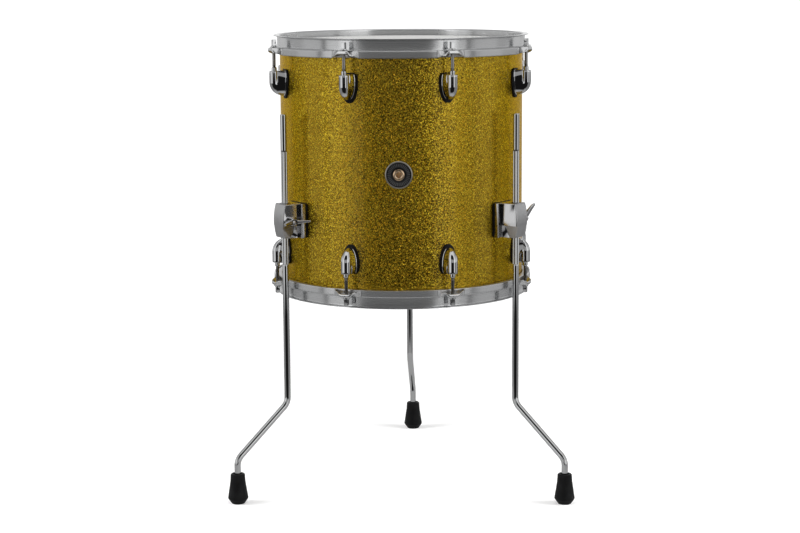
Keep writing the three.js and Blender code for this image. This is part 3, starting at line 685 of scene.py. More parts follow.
# Finishes
def sparkle():
    """Small metal flakes that lie at many angles under a clear gloss, each with a random tone that is
    partly painted glint.
    """
    finish = Finish("sparkle_wrap", metallic=0.95, specular_ior_level=0.2)
    finish.set(specular_tint=(1.0, 0.75, 0.22), coat_weight=0.14, coat_roughness=0.08)
    values = {"Vector": finish.place, "Scale": 1 / FLAKE_SIZE}
    flake = finish.signal.node("ShaderNodeTexVoronoi", None, values, 1)
    pale, tilt, _ = flake.parts()
    patch = finish.noise(FLAKE_PATCH, 1.0)
    # Each flake's random tone is partly painted glint: bright flakes stand in for flakes tilted to catch
    # the light
    tone = (pale ** FLAKE_RARITY + patch * FLAKE_PATCH_TONE - FLAKE_TONE_DROP).clipped()
    steep = tilt ** FLAKE_STRAY_RARITY
    finish.set(base_color=steep.mixed(tone.mixed(FLAKE_DARK, FLAKE_BRIGHT), FLAKE_AMBER))
    finish.set(roughness=0.18 + pale * 0.06)
    face = finish.signal.node("ShaderNodeNewGeometry", output=1)
    lean = flake.vector("SUBTRACT", flake, (0.5, 0.5, 0.5))
    settings = {"operation": "SCALE"}
    lean = lean.node("ShaderNodeVectorMath", settings, {0: lean, 3: steep * FLAKE_STRAY + FLAKE_LEAN})
    leaning = face.vector("ADD", face, lean)
    finish.set(normal=leaning.vector("NORMALIZE", leaning))
    return finish.material


def chrome(name, tone, roughness, spread):
    """Bright plating with faint cloudy patches."""
    finish = Finish(name, metallic=1.0, base_color=tone)
    cloud = finish.noise(25 * MM, 3.0)
    finish.set(roughness=roughness + cloud * spread)
    return finish.material


def hoop_plating():
    """Plating over rolled steel, whose faint lines blur what it mirrors. The ears are smoother."""
    finish = Finish("hoop_plating", metallic=1.0, base_color=(0.67, 0.675, 0.68))
    finish.set(anisotropic=1.0, anisotropic_rotation=0.25)
    x, y, z, distance = finish.on_drum()
    lines = finish.noise(1.0, 3.0, 0.6, finish.along(x=distance * HOOP_LINES, z=z * HOOP_LINES))
    turn = x.maths("ARCTAN2", x, 0 - y)
    at_ear = (0 - turn.maths("COSINE", turn * ROD_COUNT)).step(*HOOP_EAR_STARTS)
    finish.set(roughness=0.24 + lines * 0.08 - at_ear * 0.14)
    return finish.material


def satin_steel():
    """The brushed outer face of a bracket: a fine grain over dull plating."""
    finish = Finish("satin_plating", metallic=0.92)
    grain = finish.noise(0.8 * MM, 3.0)
    cloud = finish.noise(9 * MM)
    tone = cloud * 0.6 + grain * 0.4
    finish.set(base_color=tone.mixed((0.35, 0.35, 0.355), (0.52, 0.52, 0.525)))
    finish.set(roughness=0.30 + grain * 0.12)
    finish.bump(grain, 0.05 * MM)
    return finish.material


def rubber(name):
    """Moulded black rubber, a little greyer where it is dusty."""
    finish = Finish(name, specular_ior_level=0.18)
    fine = finish.noise(0.6 * MM, 3.0)
    dust = finish.noise(14 * MM, 3.0)
    dusty = dust.step(0.45, 0.8)
    finish.set(base_color=dusty.mixed((0.0025, 0.0025, 0.0028), (0.009, 0.009, 0.0095)))
    finish.set(roughness=0.42 + dust * 0.22)
    finish.bump(fine, 0.06 * MM)
    return finish.material


def coated_film():
    """White coating sprayed on a film, which stays bare near its collar."""
    finish = Finish("coated_film")
    _, _, _, distance = finish.on_drum()
    bare, coated = COAT_EDGE
    coat = 1 - distance.step(shell_radius - coated, shell_radius - bare)
    spray = finish.noise(1.1 * MM, 4.0, 0.65)
    worn = finish.noise(45 * MM, 3.0)
    white = worn.step(0.3, 0.9).mixed((0.75, 0.75, 0.735), (0.67, 0.67, 0.65))
    finish.set(base_color=coat.mixed((0.50, 0.50, 0.49), white))
    finish.set(roughness=0.22 + coat * 0.24)
    finish.bump(spray * coat, 0.16 * MM)
    return finish.material


def clear_film():
    """Clear polyester with a faint haze."""
    finish = Finish("clear_film", base_color=(0.86, 0.87, 0.88), roughness=0.08, coat_weight=0.5)
    finish.set(alpha=0.14 + finish.noise(40 * MM) * 0.08)
    return finish.material


def maple():
    """Bare maple ply with its grain running round the shell."""
    finish = Finish("shell_wood", roughness=0.5)
    x, y, z, _ = finish.on_drum()
    grain = finish.along(x=x.maths("ARCTAN2", x, y) * 0.35, y=z * 24.0)
    streak = finish.noise(0.25, 5.0, 0.6, grain)
    pore = finish.noise(0.012, 3.0, 0.6, grain)
    tone = streak * 0.8 + pore * 0.3
    finish.set(base_color=tone.mixed((0.46, 0.27, 0.12), (0.74, 0.52, 0.30)))
    finish.bump(pore, 0.1 * MM)
    return finish.material


def bright_aluminium():
    """Aluminium with fine lines round it from its rolling."""
    finish = Finish("bright_aluminium", metallic=1.0, base_color=(0.57, 0.57, 0.575))
    _, _, z, _ = finish.on_drum()
    lines = finish.noise(1.2, 2.0, 0.5, finish.along(z=z * 2600.0))
    finish.set(roughness=0.26 + lines * 0.16)
    return finish.material


def brass():
    """Brass with a faint tarnish."""
    finish = Finish("grommet_brass", metallic=1.0)
    cloud = finish.noise(5 * MM, 3.0)
    finish.set(base_color=cloud.mixed((0.52, 0.36, 0.22), (0.68, 0.52, 0.36)))
    finish.set(roughness=0.2 + cloud * 0.12)
    return finish.material


def badge_enamel():
    """Black enamel inside a bright rim, with a plain ring of dial marks."""
    finish = Finish("badge_enamel", specular_ior_level=0.25, coat_weight=0.15, coat_roughness=0.08)
    x, _, z = finish.place.vector("SUBTRACT", finish.place, (AXIS.x, 0, middle_height)).parts()
    distance = (x * x + z * z) ** 0.5

    def past(radius):
        return distance.step(radius - BADGE_BLEND, radius + BADGE_BLEND)

    rim = past(BADGE_RADIUS - BADGE_RIM)
    turn = x.maths("ARCTAN2", x, z) * (BADGE_MARKS / 2 / math.pi)
    mark = turn.maths("FRACT", turn).step(0.52, 0.56)
    inner, outer = BADGE_MARK_BAND
    marks = mark * past(inner) * (1 - past(outer))
    wear = finish.noise(3 * MM, 3.0)
    worn = (marks * (0.45 + wear * 0.5)).clipped()
    ink = worn.mixed((0.004, 0.004, 0.004), (0.10, 0.10, 0.10))
    finish.set(base_color=rim.mixed(ink, (0.50, 0.48, 0.44)))
    finish.set(metallic=rim, roughness=0.28 + wear * 0.1)
    return finish.material


# Lamps, world, floor and camera
def lamps():
    """Soft panels at both sides and above, which metal doesn't mirror."""
    for name, (azimuth, height, distance, width, tall, power) in LAMPS.items():
        data = bpy.data.lights.new(name, "AREA")
        data.shape = "RECTANGLE"
        data.size = width
        data.size_y = tall
        data.energy = power
        lamp = placed(name, data)
        turn = math.radians(azimuth)
        place = Vector((distance * math.sin(turn), -distance * math.cos(turn), height))
        lamp.location = place + AXIS
        lamp.rotation_mode = "QUATERNION"
        lamp.rotation_quaternion = (place - Vector((0, 0, LAMP_AIM))).to_track_quat("Z", "Y")
        lamp.visible_glossy = False


def room():
    """A world that is white to the eye, grey to dull surfaces and a room of panels to metal."""
    world = bpy.data.worlds.new("studio")
    world.use_nodes = True
    scene.world = world
    signal = Signal(world.node_tree)
    rays = world.node_tree.nodes.new("ShaderNodeLightPath").outputs
    eye, metal, glass = (Signal(world.node_tree, rays[f"Is {kind} Ray"]) for kind in RAYS)
    x, y, z = signal.node("ShaderNodeTexCoord", output=0).parts()
    azimuth = x.maths("ARCTAN2", x, 0 - y) / (2 * math.pi) + 0.5
    deeper = 1 - z.step(*ROOM_DROP)
    low = azimuth.curve(ROOM_LOW) * (1 - deeper) + azimuth.curve(ROOM_DEEP) * deeper
    lower = z.step(*ROOM_FALL)
    higher = z.step(*ROOM_CLIMB)
    walls = azimuth.curve(ROOM_WALLS) * lower + low * (1 - lower)
    walls = walls * (1 - higher * (1 - azimuth.curve(ROOM_MIDDLE)))
    above = z.step(*ROOM_RISE)
    mirrored = walls * (1 - above) + above * ROOM_ABOVE
    level = metal * mirrored + (1 - metal) * ROOM_LIGHT
    level = level.maths("MAXIMUM", level, eye + glass)
    back = world.node_tree.nodes["Background"]
    world.node_tree.links.new(level.socket, back.inputs["Strength"])
    back.inputs["Color"].default_value = (1, 1, 1, 1)


def floor():
    """A pale floor that stays white far off, and that metal sees only near the drum."""
    mesh = bpy.data.meshes.new("floor")
    corners = [(x * FLOOR_HALF, y * FLOOR_HALF, 0) for x, y in ((-1, -1), (1, -1), (1, 1), (-1, 1))]
    mesh.from_pydata(corners, [], [(0, 1, 2, 3)])
    finish = Finish("floor", roughness=0.9, specular_ior_level=0.0, emission_strength=1.0)
    rays = finish.tree.nodes.new("ShaderNodeLightPath").outputs
    eye, metal, glass = (Signal(finish.tree, rays[f"Is {kind} Ray"]) for kind in RAYS)
    _, y, _, distance = finish.on_drum()
    glow = FLOOR_GLOW + distance.step(*FLOOR_FAR) * (FLOOR_FAR_GLOW - FLOOR_GLOW)
    in_metal = distance.step(*FLOOR_FADE).mixed(FLOOR_IN_METAL, FLOOR_FAR_IN_METAL)
    finish.set(base_color=metal.mixed(FLOOR_TONE, in_metal))
    finish.set(emission_color=(eye + glass).clipped() * glow + metal * FLOOR_SEEN_IN_METAL)
    beyond = distance.maths("MAXIMUM", distance.step(*FLOOR_NEAR), (0 - y).step(*FLOOR_FRONT))
    finish.set(alpha=1 - metal * beyond)
    mesh.materials.append(finish.material)
    placed("floor", mesh)


def camera():
    data = bpy.data.cameras.new("camera")
    data.lens = CAMERA_LENS
    data.sensor_width = CAMERA_SENSOR
    data.sensor_fit = "HORIZONTAL"
    data.clip_end = 200
    made = placed("camera", data)
    tilt = math.radians(CAMERA_TILT)
    turn = (
        Matrix.Rotation(math.radians(CAMERA_AZIMUTH), 4, "Z")
        @ Matrix.Rotation(-math.radians(CAMERA_PAN), 4, "Z")
        @ Matrix.Rotation(math.pi / 2 - tilt, 4, "X")
        @ Matrix.Rotation(-math.radians(CAMERA_ROLL), 4, "Z")
    )
    azimuth = math.radians(CAMERA_AZIMUTH)
    place = Vector((math.sin(azimuth), -math.cos(azimuth), 0)) * CAMERA_DISTANCE
    made.matrix_world = Matrix.Translation(AXIS + place + Vector((0, 0, CAMERA_HEIGHT))) @ turn
    scene.camera = made


# Shell, wrap, heads
def drum_ring(corners, segments=192):
    return turned(rounded(corners, closed=True), segments, hollow=True)


def shell_and_wrap():
    """The wrapped shell, with the vent hole through both."""
    inner = shell_radius - SHELL_WALL
    crest = shell_radius - CREST_INSET
    low, high = shell_low.z, shell_high.z
    shell = drum_ring([
        (inner, low + BEARING_BEVEL, MM), (crest, low, MM), (shell_radius, low + CREST_INSET, MM),
        (shell_radius, high - CREST_INSET, MM), (crest, high, MM), (inner, high - BEARING_BEVEL, MM),
    ])
    back = wrap_radius - WRAP_THICKNESS
    wrap = drum_ring([
        (back, wrap_low.z, WRAP_EDGE), (wrap_radius, wrap_low.z, WRAP_EDGE),
        (wrap_radius, wrap_high.z, WRAP_EDGE), (back, wrap_high.z, WRAP_EDGE),
    ])
    drill = shifted(lying_out(post(VENT_HOLE, inner - PAST, wrap_radius + PAST)), z=middle_height)
    for name, solid, finish, slot, node in (
        ("shell_ply", shell, "wood", "shell_wood", "shell"),
        ("sparkle_wrap_skin", wrap, "sparkle", "sparkle_wrap", "sparkle_wrap"),
    ):
        mesh = transformed(combined(solid, [drill], "DIFFERENCE"), around(0))
        piece(name, mesh, finish, "drum", [node])


def heads():
    """Each head: a film drawn over the bearing edge, and the flesh hoop that holds it."""
    thick = FILM_THICKNESS
    crest = shell_radius - CREST_INSET
    collar = film_radius - thick
    film = rounded([
        (0, thick, 0), (crest, thick, FILM_BEND), (collar, thick - COLLAR_DROP, FILM_BEND),
        (collar, -COLLAR_LENGTH, 0), (film_radius, -COLLAR_LENGTH, 0),
        (film_radius, 2 * thick - COLLAR_DROP, FILM_BEND), (crest + thick, 2 * thick, FILM_BEND),
        (0, 2 * thick, 0),
    ])
    inner = film_radius + CLEARANCE
    outer = inner + FLESH_WIDTH
    low = -FLESH_DROP - FLESH_HEIGHT
    flesh = drum_ring([
        (inner, low, MM), (outer, low, 2 * MM), (outer, -FLESH_DROP, 2 * MM), (inner, -FLESH_DROP, MM)])
    for (_, _, level, flip), word, finish in zip(
        ends(shell_high.z), ("batter", "resonant"), ("coated", "clear")
    ):
        place = around(0, level) @ flip
        skin = moved(turned(film, 192), place)
        ring = moved(flesh, place)
        piece(f"{word}_head_film", skin, finish, "drum", [f"{word}_film"])
        piece(f"{word}_head_ring", ring, "aluminium", "drum", [f"{word}_flesh_hoop"])


# Hoops
def plate_outline(line, thicknesses):
    """The outline of a bent plate drawn round its middle line, with round edges."""
    left = []
    right = []
    for k, here in enumerate(line):
        before = Vector(line[max(k - 1, 0)])
        after = Vector(line[min(k + 1, len(line) - 1)])
        along = (after - before).normalized()
        across = Vector((-along.y, along.x)) * thicknesses[k] / 2
        left.append(Vector(here) + across)
        right.append(Vector(here) - across)
        if k in (0, len(line) - 1):
            cap_way = along * (-1 if k == 0 else 1)
            cap = [Vector(here) + across * math.cos(t) + cap_way * thicknesses[k] / 2 * math.sin(t)
                   for t in (math.pi / 4, math.pi / 2, 3 * math.pi / 4)]
            if k == 0:
                start_cap = cap
            else:
                end_cap = cap
    return left + end_cap + right[::-1] + start_cap[::-1]


def eased(value, low, high):
    t = min(max((value - low) / (high - low), 0), 1)
    return t * t * (3 - 2 * t)


def hoop_section(offset):
    """The hoop's section at a distance along its rim from the nearest rod.

    Away from an ear the plate folds down into the skirt. Towards it the fold runs out to the
    lower edge over a slanting plate, and the ear itself is flat with a lip turned down.
    """
    band = film_radius + BAND_CLEARANCE + HOOP_STEEL / 2
    top = BAND_HEIGHT - HOOP_STEEL / 2
    here = Vector((FLANGE_RADIUS - HOOP_BEND, -HOOP_STEEL / 2))
    line = rounded([
        (band + LIP_WIDTH, top, 0), (band, top, HOOP_BEND), (band, here.y, HOOP_BEND), (here.x, here.y, 0)])
    on_lip = [eased(x - band, 0, HOOP_BEND) if z > top / 2 else 0 for x, z in line]
    line = [(x, z + LIP_THINNING / 2 * share) for (x, z), share in zip(line, on_lip)]
    thicknesses = [HOOP_STEEL - LIP_THINNING * share for share in on_lip] + [HOOP_STEEL] * FOLD_STEPS
    beside = eased(abs(offset), EAR_FLAT, EAR_CORNER)
    beyond = eased(abs(offset), EAR_CORNER, EAR_FOOT)
    slope = math.radians(EAR_SLOPE) * beside
    reach = EAR_REACH + (SKIRT_LENGTH - EAR_REACH) * beside
    fold = reach * (1 - beyond)
    step = (reach + EAR_LIP * (1 - beside)) / FOLD_STEPS
    for k in range(FOLD_STEPS):
        along = (k + 0.5) * step
        folded = eased(along, fold, fold + FOLD_ARC)
        turn = slope * eased(along, 0, FOLD_ARC) + (math.pi / 2 - slope) * folded
        here = here + Vector((math.cos(turn), -math.sin(turn))) * step
        line.append(tuple(here))
    return plate_outline(line, thicknesses)


def hoop_offsets():
    """Distances along one rod's share of the rim, close together at the ear."""
    half = math.pi * rod_circle / ROD_COUNT
    reach = EAR_FOOT + 2 * EAR_STEP
    near = int(2 * reach / EAR_STEP)
    far = int((half - reach) / HOOP_STEP)
    left = [-half + (half - reach) * k / far for k in range(far)]
    middle = [-reach + 2 * reach * k / near for k in range(near)]
    right = [reach + (half - reach) * k / far for k in range(far)]
    return left + middle + right


def hoops():
    rings = []
    for turn in rod_turns:
        for offset in hoop_offsets():
            azimuth = turn + offset / rod_circle
            out = Vector((math.sin(azimuth), -math.cos(azimuth), 0))
            rings.append([out * point.x + Vector((0, 0, point.y)) for point in hoop_section(offset)])
    ring = skinned(rings, loop=True)
    hole = shifted(post(ROD_HOLE, *HOOP_DRILL, 32), y=-rod_circle)
    holes = [moved(hole, Matrix.Rotation(turn, 4, "Z")) for turn in rod_turns]
    for word, side, level, flip in ends(shelf_height):
        mesh = transformed(combined(ring, [merged(*holes)], "DIFFERENCE"), around(0, level) @ flip)
        if side < 0:
            mesh.flip_normals()
        piece(f"{word}_rim", mesh, "hoop", "drum", [f"{word}_hoop"])


# Rods
def square_ring(inset, height):
    """One level of a key head, with round corners."""
    half = KEY_HALF_WIDTH - inset
    corners = [(x * half, y * half, KEY_CORNER) for x, y in ((-1, -1), (1, -1), (1, 1), (-1, 1))]
    return [Vector((x, y, height)) for x, y in rounded(corners, closed=True, steps=3)]


def thread(radius, depth, pitch, start, end):
    """The profile of a thread drawn as rings, with its grooves first."""
    profile = []
    height = start
    while height < end:
        profile += [(radius - depth, height), (radius, height + pitch / 2)]
        height += pitch
    return profile, height


def rod_solid(length):
    """A rod with its thread, washer, flange and square key head, with the hoop's shelf at 0."""
    shank = ROD_RADIUS - ROD_THREAD_DEPTH / 2
    grooves, end = thread(
        ROD_RADIUS, ROD_THREAD_DEPTH, ROD_THREAD_PITCH, -length, -length + ROD_THREAD_LENGTH)
    flange = CLEARANCE + WASHER_HEIGHT
    top = flange + KEY_FLANGE_HEIGHT
    washer = rounded([
        (shank, CLEARANCE, 0), (WASHER_RADIUS, CLEARANCE, WASHER_EDGE),
        (WASHER_RADIUS, flange, WASHER_EDGE), (KEY_FLANGE_RADIUS, flange, 0)], steps=3)
    collar = rounded([
        (KEY_FLANGE_RADIUS, flange, 0), (KEY_FLANGE_RADIUS, top - 0.4 * MM, 0),
        (KEY_FLANGE_RADIUS - 0.8 * MM, top, 0), (0, top + 0.2 * MM, 0)])
    body = turned([
        (0, -length), *grooves, (shank, end), (shank, CLEARANCE), *washer[1:], *collar[1:]], 24)
    head = top + KEY_HEIGHT
    key = skinned([
        square_ring(0, top),
        square_ring(0, head - KEY_CHAMFER),
        square_ring(KEY_CHAMFER * 0.4, head - KEY_CHAMFER * 0.3),
        square_ring(KEY_CHAMFER, head),
    ])
    return merged(body, key)


def rods():
    length = shelf_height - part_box("top_rod_1")[0].z
    solid = shifted(rod_solid(length), y=-rod_circle)
    for word, side, level, flip in ends(shelf_height):
        for k in range(ROD_COUNT):
            name = f"{word}_rod_{k + 1}"
            azimuth = polar(f"{name}_turn")[1]
            mesh = mesh_of(name, moved(solid, around(azimuth, level) @ flip))
            mesh.materials.append(finishes["chrome"])
            mesh.materials.append(finishes["rod"])
            for polygon in mesh.polygons:
                polygon.material_index = 1 if (polygon.center.z - level) * side < 0 else 0
            piece(f"{name}_bright", mesh, None, name, [name], SHARP_EDGE_FINE)


# Lugs
def lug_width(height):
    """Half the width of a lug's base, which is widest above its middle and ends in a point."""
    if height > LUG_WIDEST:
        up = (height - LUG_WIDEST) / (LUG_HALF_HEIGHT - LUG_WIDEST)
        return LUG_BASE_TOP + (LUG_BASE - LUG_BASE_TOP) * math.sqrt(max(0, 1 - up * up))
    down = (LUG_WIDEST - height) / (LUG_WIDEST + LUG_HALF_HEIGHT)
    return LUG_BASE * math.sqrt(max(1 - down ** LUG_POINT_POWER, 0.015))


def lug_nose(height):
    """1 along the barrel, going to 0 at the rounded lower end."""
    down = max(0, (LUG_NOSE_START - height) / (LUG_NOSE_START + LUG_HALF_HEIGHT))
    return max(1 - down ** LUG_NOSE_POWER, 0.004) ** (1 / LUG_NOSE_POWER)


def lug_heights():
    """(height, inset) from the top of a lug down to its lower end, close together at both."""
    levels = []
    for step in range(6):
        angle = math.pi / 2 * (1 - step / 5)
        drop = LUG_TOP_ROUNDING * (1 - math.sin(angle))
        levels.append((LUG_HALF_HEIGHT - drop, LUG_TOP_ROUNDING * (1 - math.cos(angle))))
    start = LUG_HALF_HEIGHT - LUG_TOP_ROUNDING
    levels += [(start + (LUG_NOSE_START - start) * step / 12, 0) for step in range(1, 12)]
    reach = LUG_NOSE_START + LUG_HALF_HEIGHT
    levels += [(LUG_NOSE_START - reach * math.sin(math.pi / 2 * step / 22), 0) for step in range(23)]
    return levels


def lug_section(height, inset):
    """One level of a lug: a round barrel, a neck behind it near the top, and a flare to the base."""
    nose = lug_nose(height)
    width = lug_width(height) - inset
    reach = (rod_circle + LUG_BARREL - lug_back) * nose - inset
    barrel = min(LUG_BARREL * nose ** LUG_NOSE_TAPER - inset * 0.5, width * 0.97)
    edge = min(LUG_BASE_EDGE, reach * 0.3)
    centre = reach - barrel
    neck = barrel * (1 - LUG_NECK_SHARE * eased(height, *LUG_VALLEY))
    behind = math.acos(neck / barrel)
    waist = centre - barrel * math.sin(behind)
    root = width - edge * 0.45
    half = [(width, -LUG_GASKET / 2), (width, edge * 0.3), (width - edge * 0.12, edge * 0.7)]
    domed = eased(height, *LUG_VALLEY)
    low = math.radians(LUG_DOME_START)
    for step in range(9):
        t = step / 9
        turn = low + (math.pi / 2 - low) * t
        rise = (math.sin(turn) - math.sin(low)) / (1 - math.sin(low)) * domed + t * (1 - domed)
        share = math.cos(turn) / math.cos(low) * domed + (1 - t) ** LUG_FLARE * (1 - domed)
        half.append((neck + (root - neck) * share, edge + (waist - edge) * rise))
    for step in range(17):
        angle = -behind + (math.pi / 2 + behind) * step / 16
        half.append((barrel * math.cos(angle), centre + barrel * math.sin(angle)))
    outline = half + [(-x, out) for x, out in half[-2::-1]]
    drop = LUG_TOP_DROP * eased(height, 0, LUG_HALF_HEIGHT) / max(reach, MM)
    return [Vector((x, -lug_back - out, height - drop * max(out, 0))) for x, out in outline]


def lug_solid():
    casing = skinned([lug_section(*level) for level in lug_heights()])
    low = LUG_HALF_HEIGHT - LUG_TOP_DROP - 2 * MM
    top = LUG_HALF_HEIGHT + SLEEVE_HEIGHT
    deep = top - SLEEVE_MOUTH_DEPTH
    sleeve = turned(rounded([
        (0, low, 0), (SLEEVE_RADIUS, low, 0), (SLEEVE_RADIUS, top - 1.6 * MM, MM),
        (SLEEVE_MOUTH + 0.6 * MM, top, 0.8 * MM), (SLEEVE_MOUTH, top, 0), (SLEEVE_MOUTH, deep, 0),
        (0, deep, 0)], steps=3), 32)
    return merged(casing, shifted(sleeve, y=-rod_circle))


def on_shell(outline, radius):
    """An outline of (x, height) points bent round the drum."""
    return [Vector((radius * math.sin(x / radius), -radius * math.cos(x / radius), z)) for x, z in outline]


def pad_solid(outline_of, inner, outer):
    """A pad that follows the shell, with a small round at its outer edge."""
    edge = PAD_EDGE
    levels = ((0, inner), (0, outer - edge), (edge * 0.3, outer - edge * 0.3), (edge, outer))
    return skinned([on_shell(outline_of(inset), radius) for inset, radius in levels])


def lug_plan(inset):
    """The lug's base seen from the front, with a margin all round."""
    margin = LUG_GASKET_MARGIN - inset
    corner = LUG_BASE_TOP + margin
    top = LUG_HALF_HEIGHT + margin * LUG_GASKET_TOP_SHARE
    start = LUG_HALF_HEIGHT - 3 * MM
    cut, bulge = LUG_GASKET_CORNER, 0.3 * LUG_GASKET_CORNER
    right = [(corner - cut, top), (corner - bulge, top - bulge), (corner, top - cut)]
    for step in range(20):
        height = start - (start + LUG_HALF_HEIGHT) * math.sin(math.pi / 2 * step / 19)
        beside = margin * (1 - 0.5 * eased(-height, 0, LUG_HALF_HEIGHT))
        below = (margin + LUG_GASKET_POINT) * eased(-height, -LUG_WIDEST, LUG_HALF_HEIGHT)
        right.append((lug_width(height) + beside, height - below))
    return right + [(-x, z) for x, z in right[::-1]]


def screw_head(radius):
    """A pan head with its washer, drawn inwards from the inside of the shell."""
    base = (shell_radius - SHELL_WALL) * math.cos(math.pi / DRUM_FACETS) - CLEARANCE
    seat = base - SCREW_WASHER_HEIGHT
    top = base - SCREW_HEAD_HEIGHT
    rim = radius + SCREW_WASHER_MARGIN
    slot = SCREW_SLOT_RADIUS
    profile = rounded([
        (0, base, 0), (rim, base, 0.2 * MM), (rim, seat, 0.2 * MM), (radius, seat, 0),
        (radius, top, MM), (slot, top, 0), (slot, top + slot, 0), (0, top + slot, 0)], steps=3)
    return lying_out(turned(profile, 24))


def copies_tree():
    """Copies of one part, even round the drum's axis."""
    tree = bpy.data.node_groups.new("copies_round_drum", "GeometryNodeTree")
    face = tree.interface
    face.new_socket("Geometry", in_out="OUTPUT", socket_type="NodeSocketGeometry")
    for name, kind in (
        ("Geometry", "NodeSocketGeometry"), ("Part", "NodeSocketObject"), ("Count", "NodeSocketInt"),
        ("First Turn", "NodeSocketFloat"), ("Axis", "NodeSocketVector"), ("Finish", "NodeSocketMaterial"),
    ):
        face.new_socket(name, in_out="INPUT", socket_type=kind)

    def node(kind, settings=None, links=None):
        made = tree.nodes.new(kind)
        for name, value in (settings or {}).items():
            setattr(made, name, value)
        for name, value in (links or {}).items():
            if isinstance(value, bpy.types.NodeSocket):
                tree.links.new(value, made.inputs[name])
            else:
                made.inputs[name].default_value = value
        return made

    given = node("NodeGroupInput").outputs
    points = node("GeometryNodePoints", None, {"Count": given["Count"], "Position": given["Axis"]})
    part = node("GeometryNodeObjectInfo", None, {"Object": given["Part"]})
    index = node("GeometryNodeInputIndex")
    step = node("ShaderNodeMath", {"operation": "DIVIDE"}, {0: 2 * math.pi, 1: given["Count"]})
    turn = node("ShaderNodeMath", {"operation": "MULTIPLY_ADD"},
                {0: index.outputs[0], 1: step.outputs[0], 2: given["First Turn"]})
    spin = node("ShaderNodeCombineXYZ", None, {"Z": turn.outputs[0]})
    copies = node("GeometryNodeInstanceOnPoints", None, {
        "Points": points.outputs[0], "Instance": part.outputs["Geometry"], "Rotation": spin.outputs[0]})
    real = node("GeometryNodeRealizeInstances", None, {"Geometry": copies.outputs[0]})
    links = {"Geometry": real.outputs[0], "Material": given["Finish"]}
    finish = node("GeometryNodeSetMaterial", None, links)
    node("NodeGroupOutput", None, {0: finish.outputs[0]})
    return tree


def copied(solid, count, first_turn, finish):
    """One mesh of a part's copies round the drum."""
    part = placed("part", mesh_of("part", solid))
    worked = placed("worked", mesh_of("worked", ([Vector()], [])))
    step = modifier(worked, "NODES", node_group=copies)
    values = {"Part": part, "Count": count, "First Turn": first_turn, "Axis": tuple(AXIS), "Finish": finish}
    for item in copies.interface.items_tree:
        if item.in_out == "INPUT" and item.name in values:
            step[item.identifier] = values[item.name]
    return settled(worked, part)


def lugs():
    parts = (
        ("lug_casings", lug_solid(), "chrome", "lug_chrome"),
        ("lug_pads", pad_solid(lug_plan, wrap_radius + CLEARANCE, lug_back), "rubber", "gasket_rubber"),
        ("lug_screw_heads", screw_head(SCREW_HEAD_RADIUS), "steel", "lug_chrome"),
    )
    for word, _, level, flip in ends(middle_height + LUG_FROM_MIDDLE):
        nodes = [f"{word}_lug_{k + 1}" for k in range(ROD_COUNT)]
        for name, solid, finish, slot in parts:
            solid_here = moved(solid, Matrix.Translation((0, 0, level)) @ flip)
            mesh = copied(solid_here, ROD_COUNT, rod_turns[0], finishes[finish])
            piece(f"{word}_{name}", mesh, finish, "drum", nodes)


# Brackets
def prism(outline, low, high):
    """A flat outline of (x, y) points drawn up from one height to another."""
    count = len(outline)
    points = [Vector((x, y, low)) for x, y in outline] + [Vector((x, y, high)) for x, y in outline]
    faces = [(k, (k + 1) % count, count + (k + 1) % count, count + k) for k in range(count)]
    faces.append(tuple(reversed(range(count))))
    faces.append(tuple(range(count, 2 * count)))
    return outward(points, faces)


def across_prism(outline, low, high):
    """An outline of (distance outwards, height) points drawn along the tangent."""
    points, faces = prism(outline, low, high)
    return outward([Vector((z, -x, y)) for x, y, z in points], faces)


def box_solid(half, near, far, low, high):
    return prism([(-half, -far), (half, -far), (half, -near), (-half, -near)], low, high)


def drafted(solid, middle, slope):
    """A casting drawn along the tangent, made a little narrower outwards."""
    points, faces = solid
    points = [Vector((x + math.copysign((y + middle) * slope, x), y, z)) for x, y, z in points]
    return outward(points, faces)


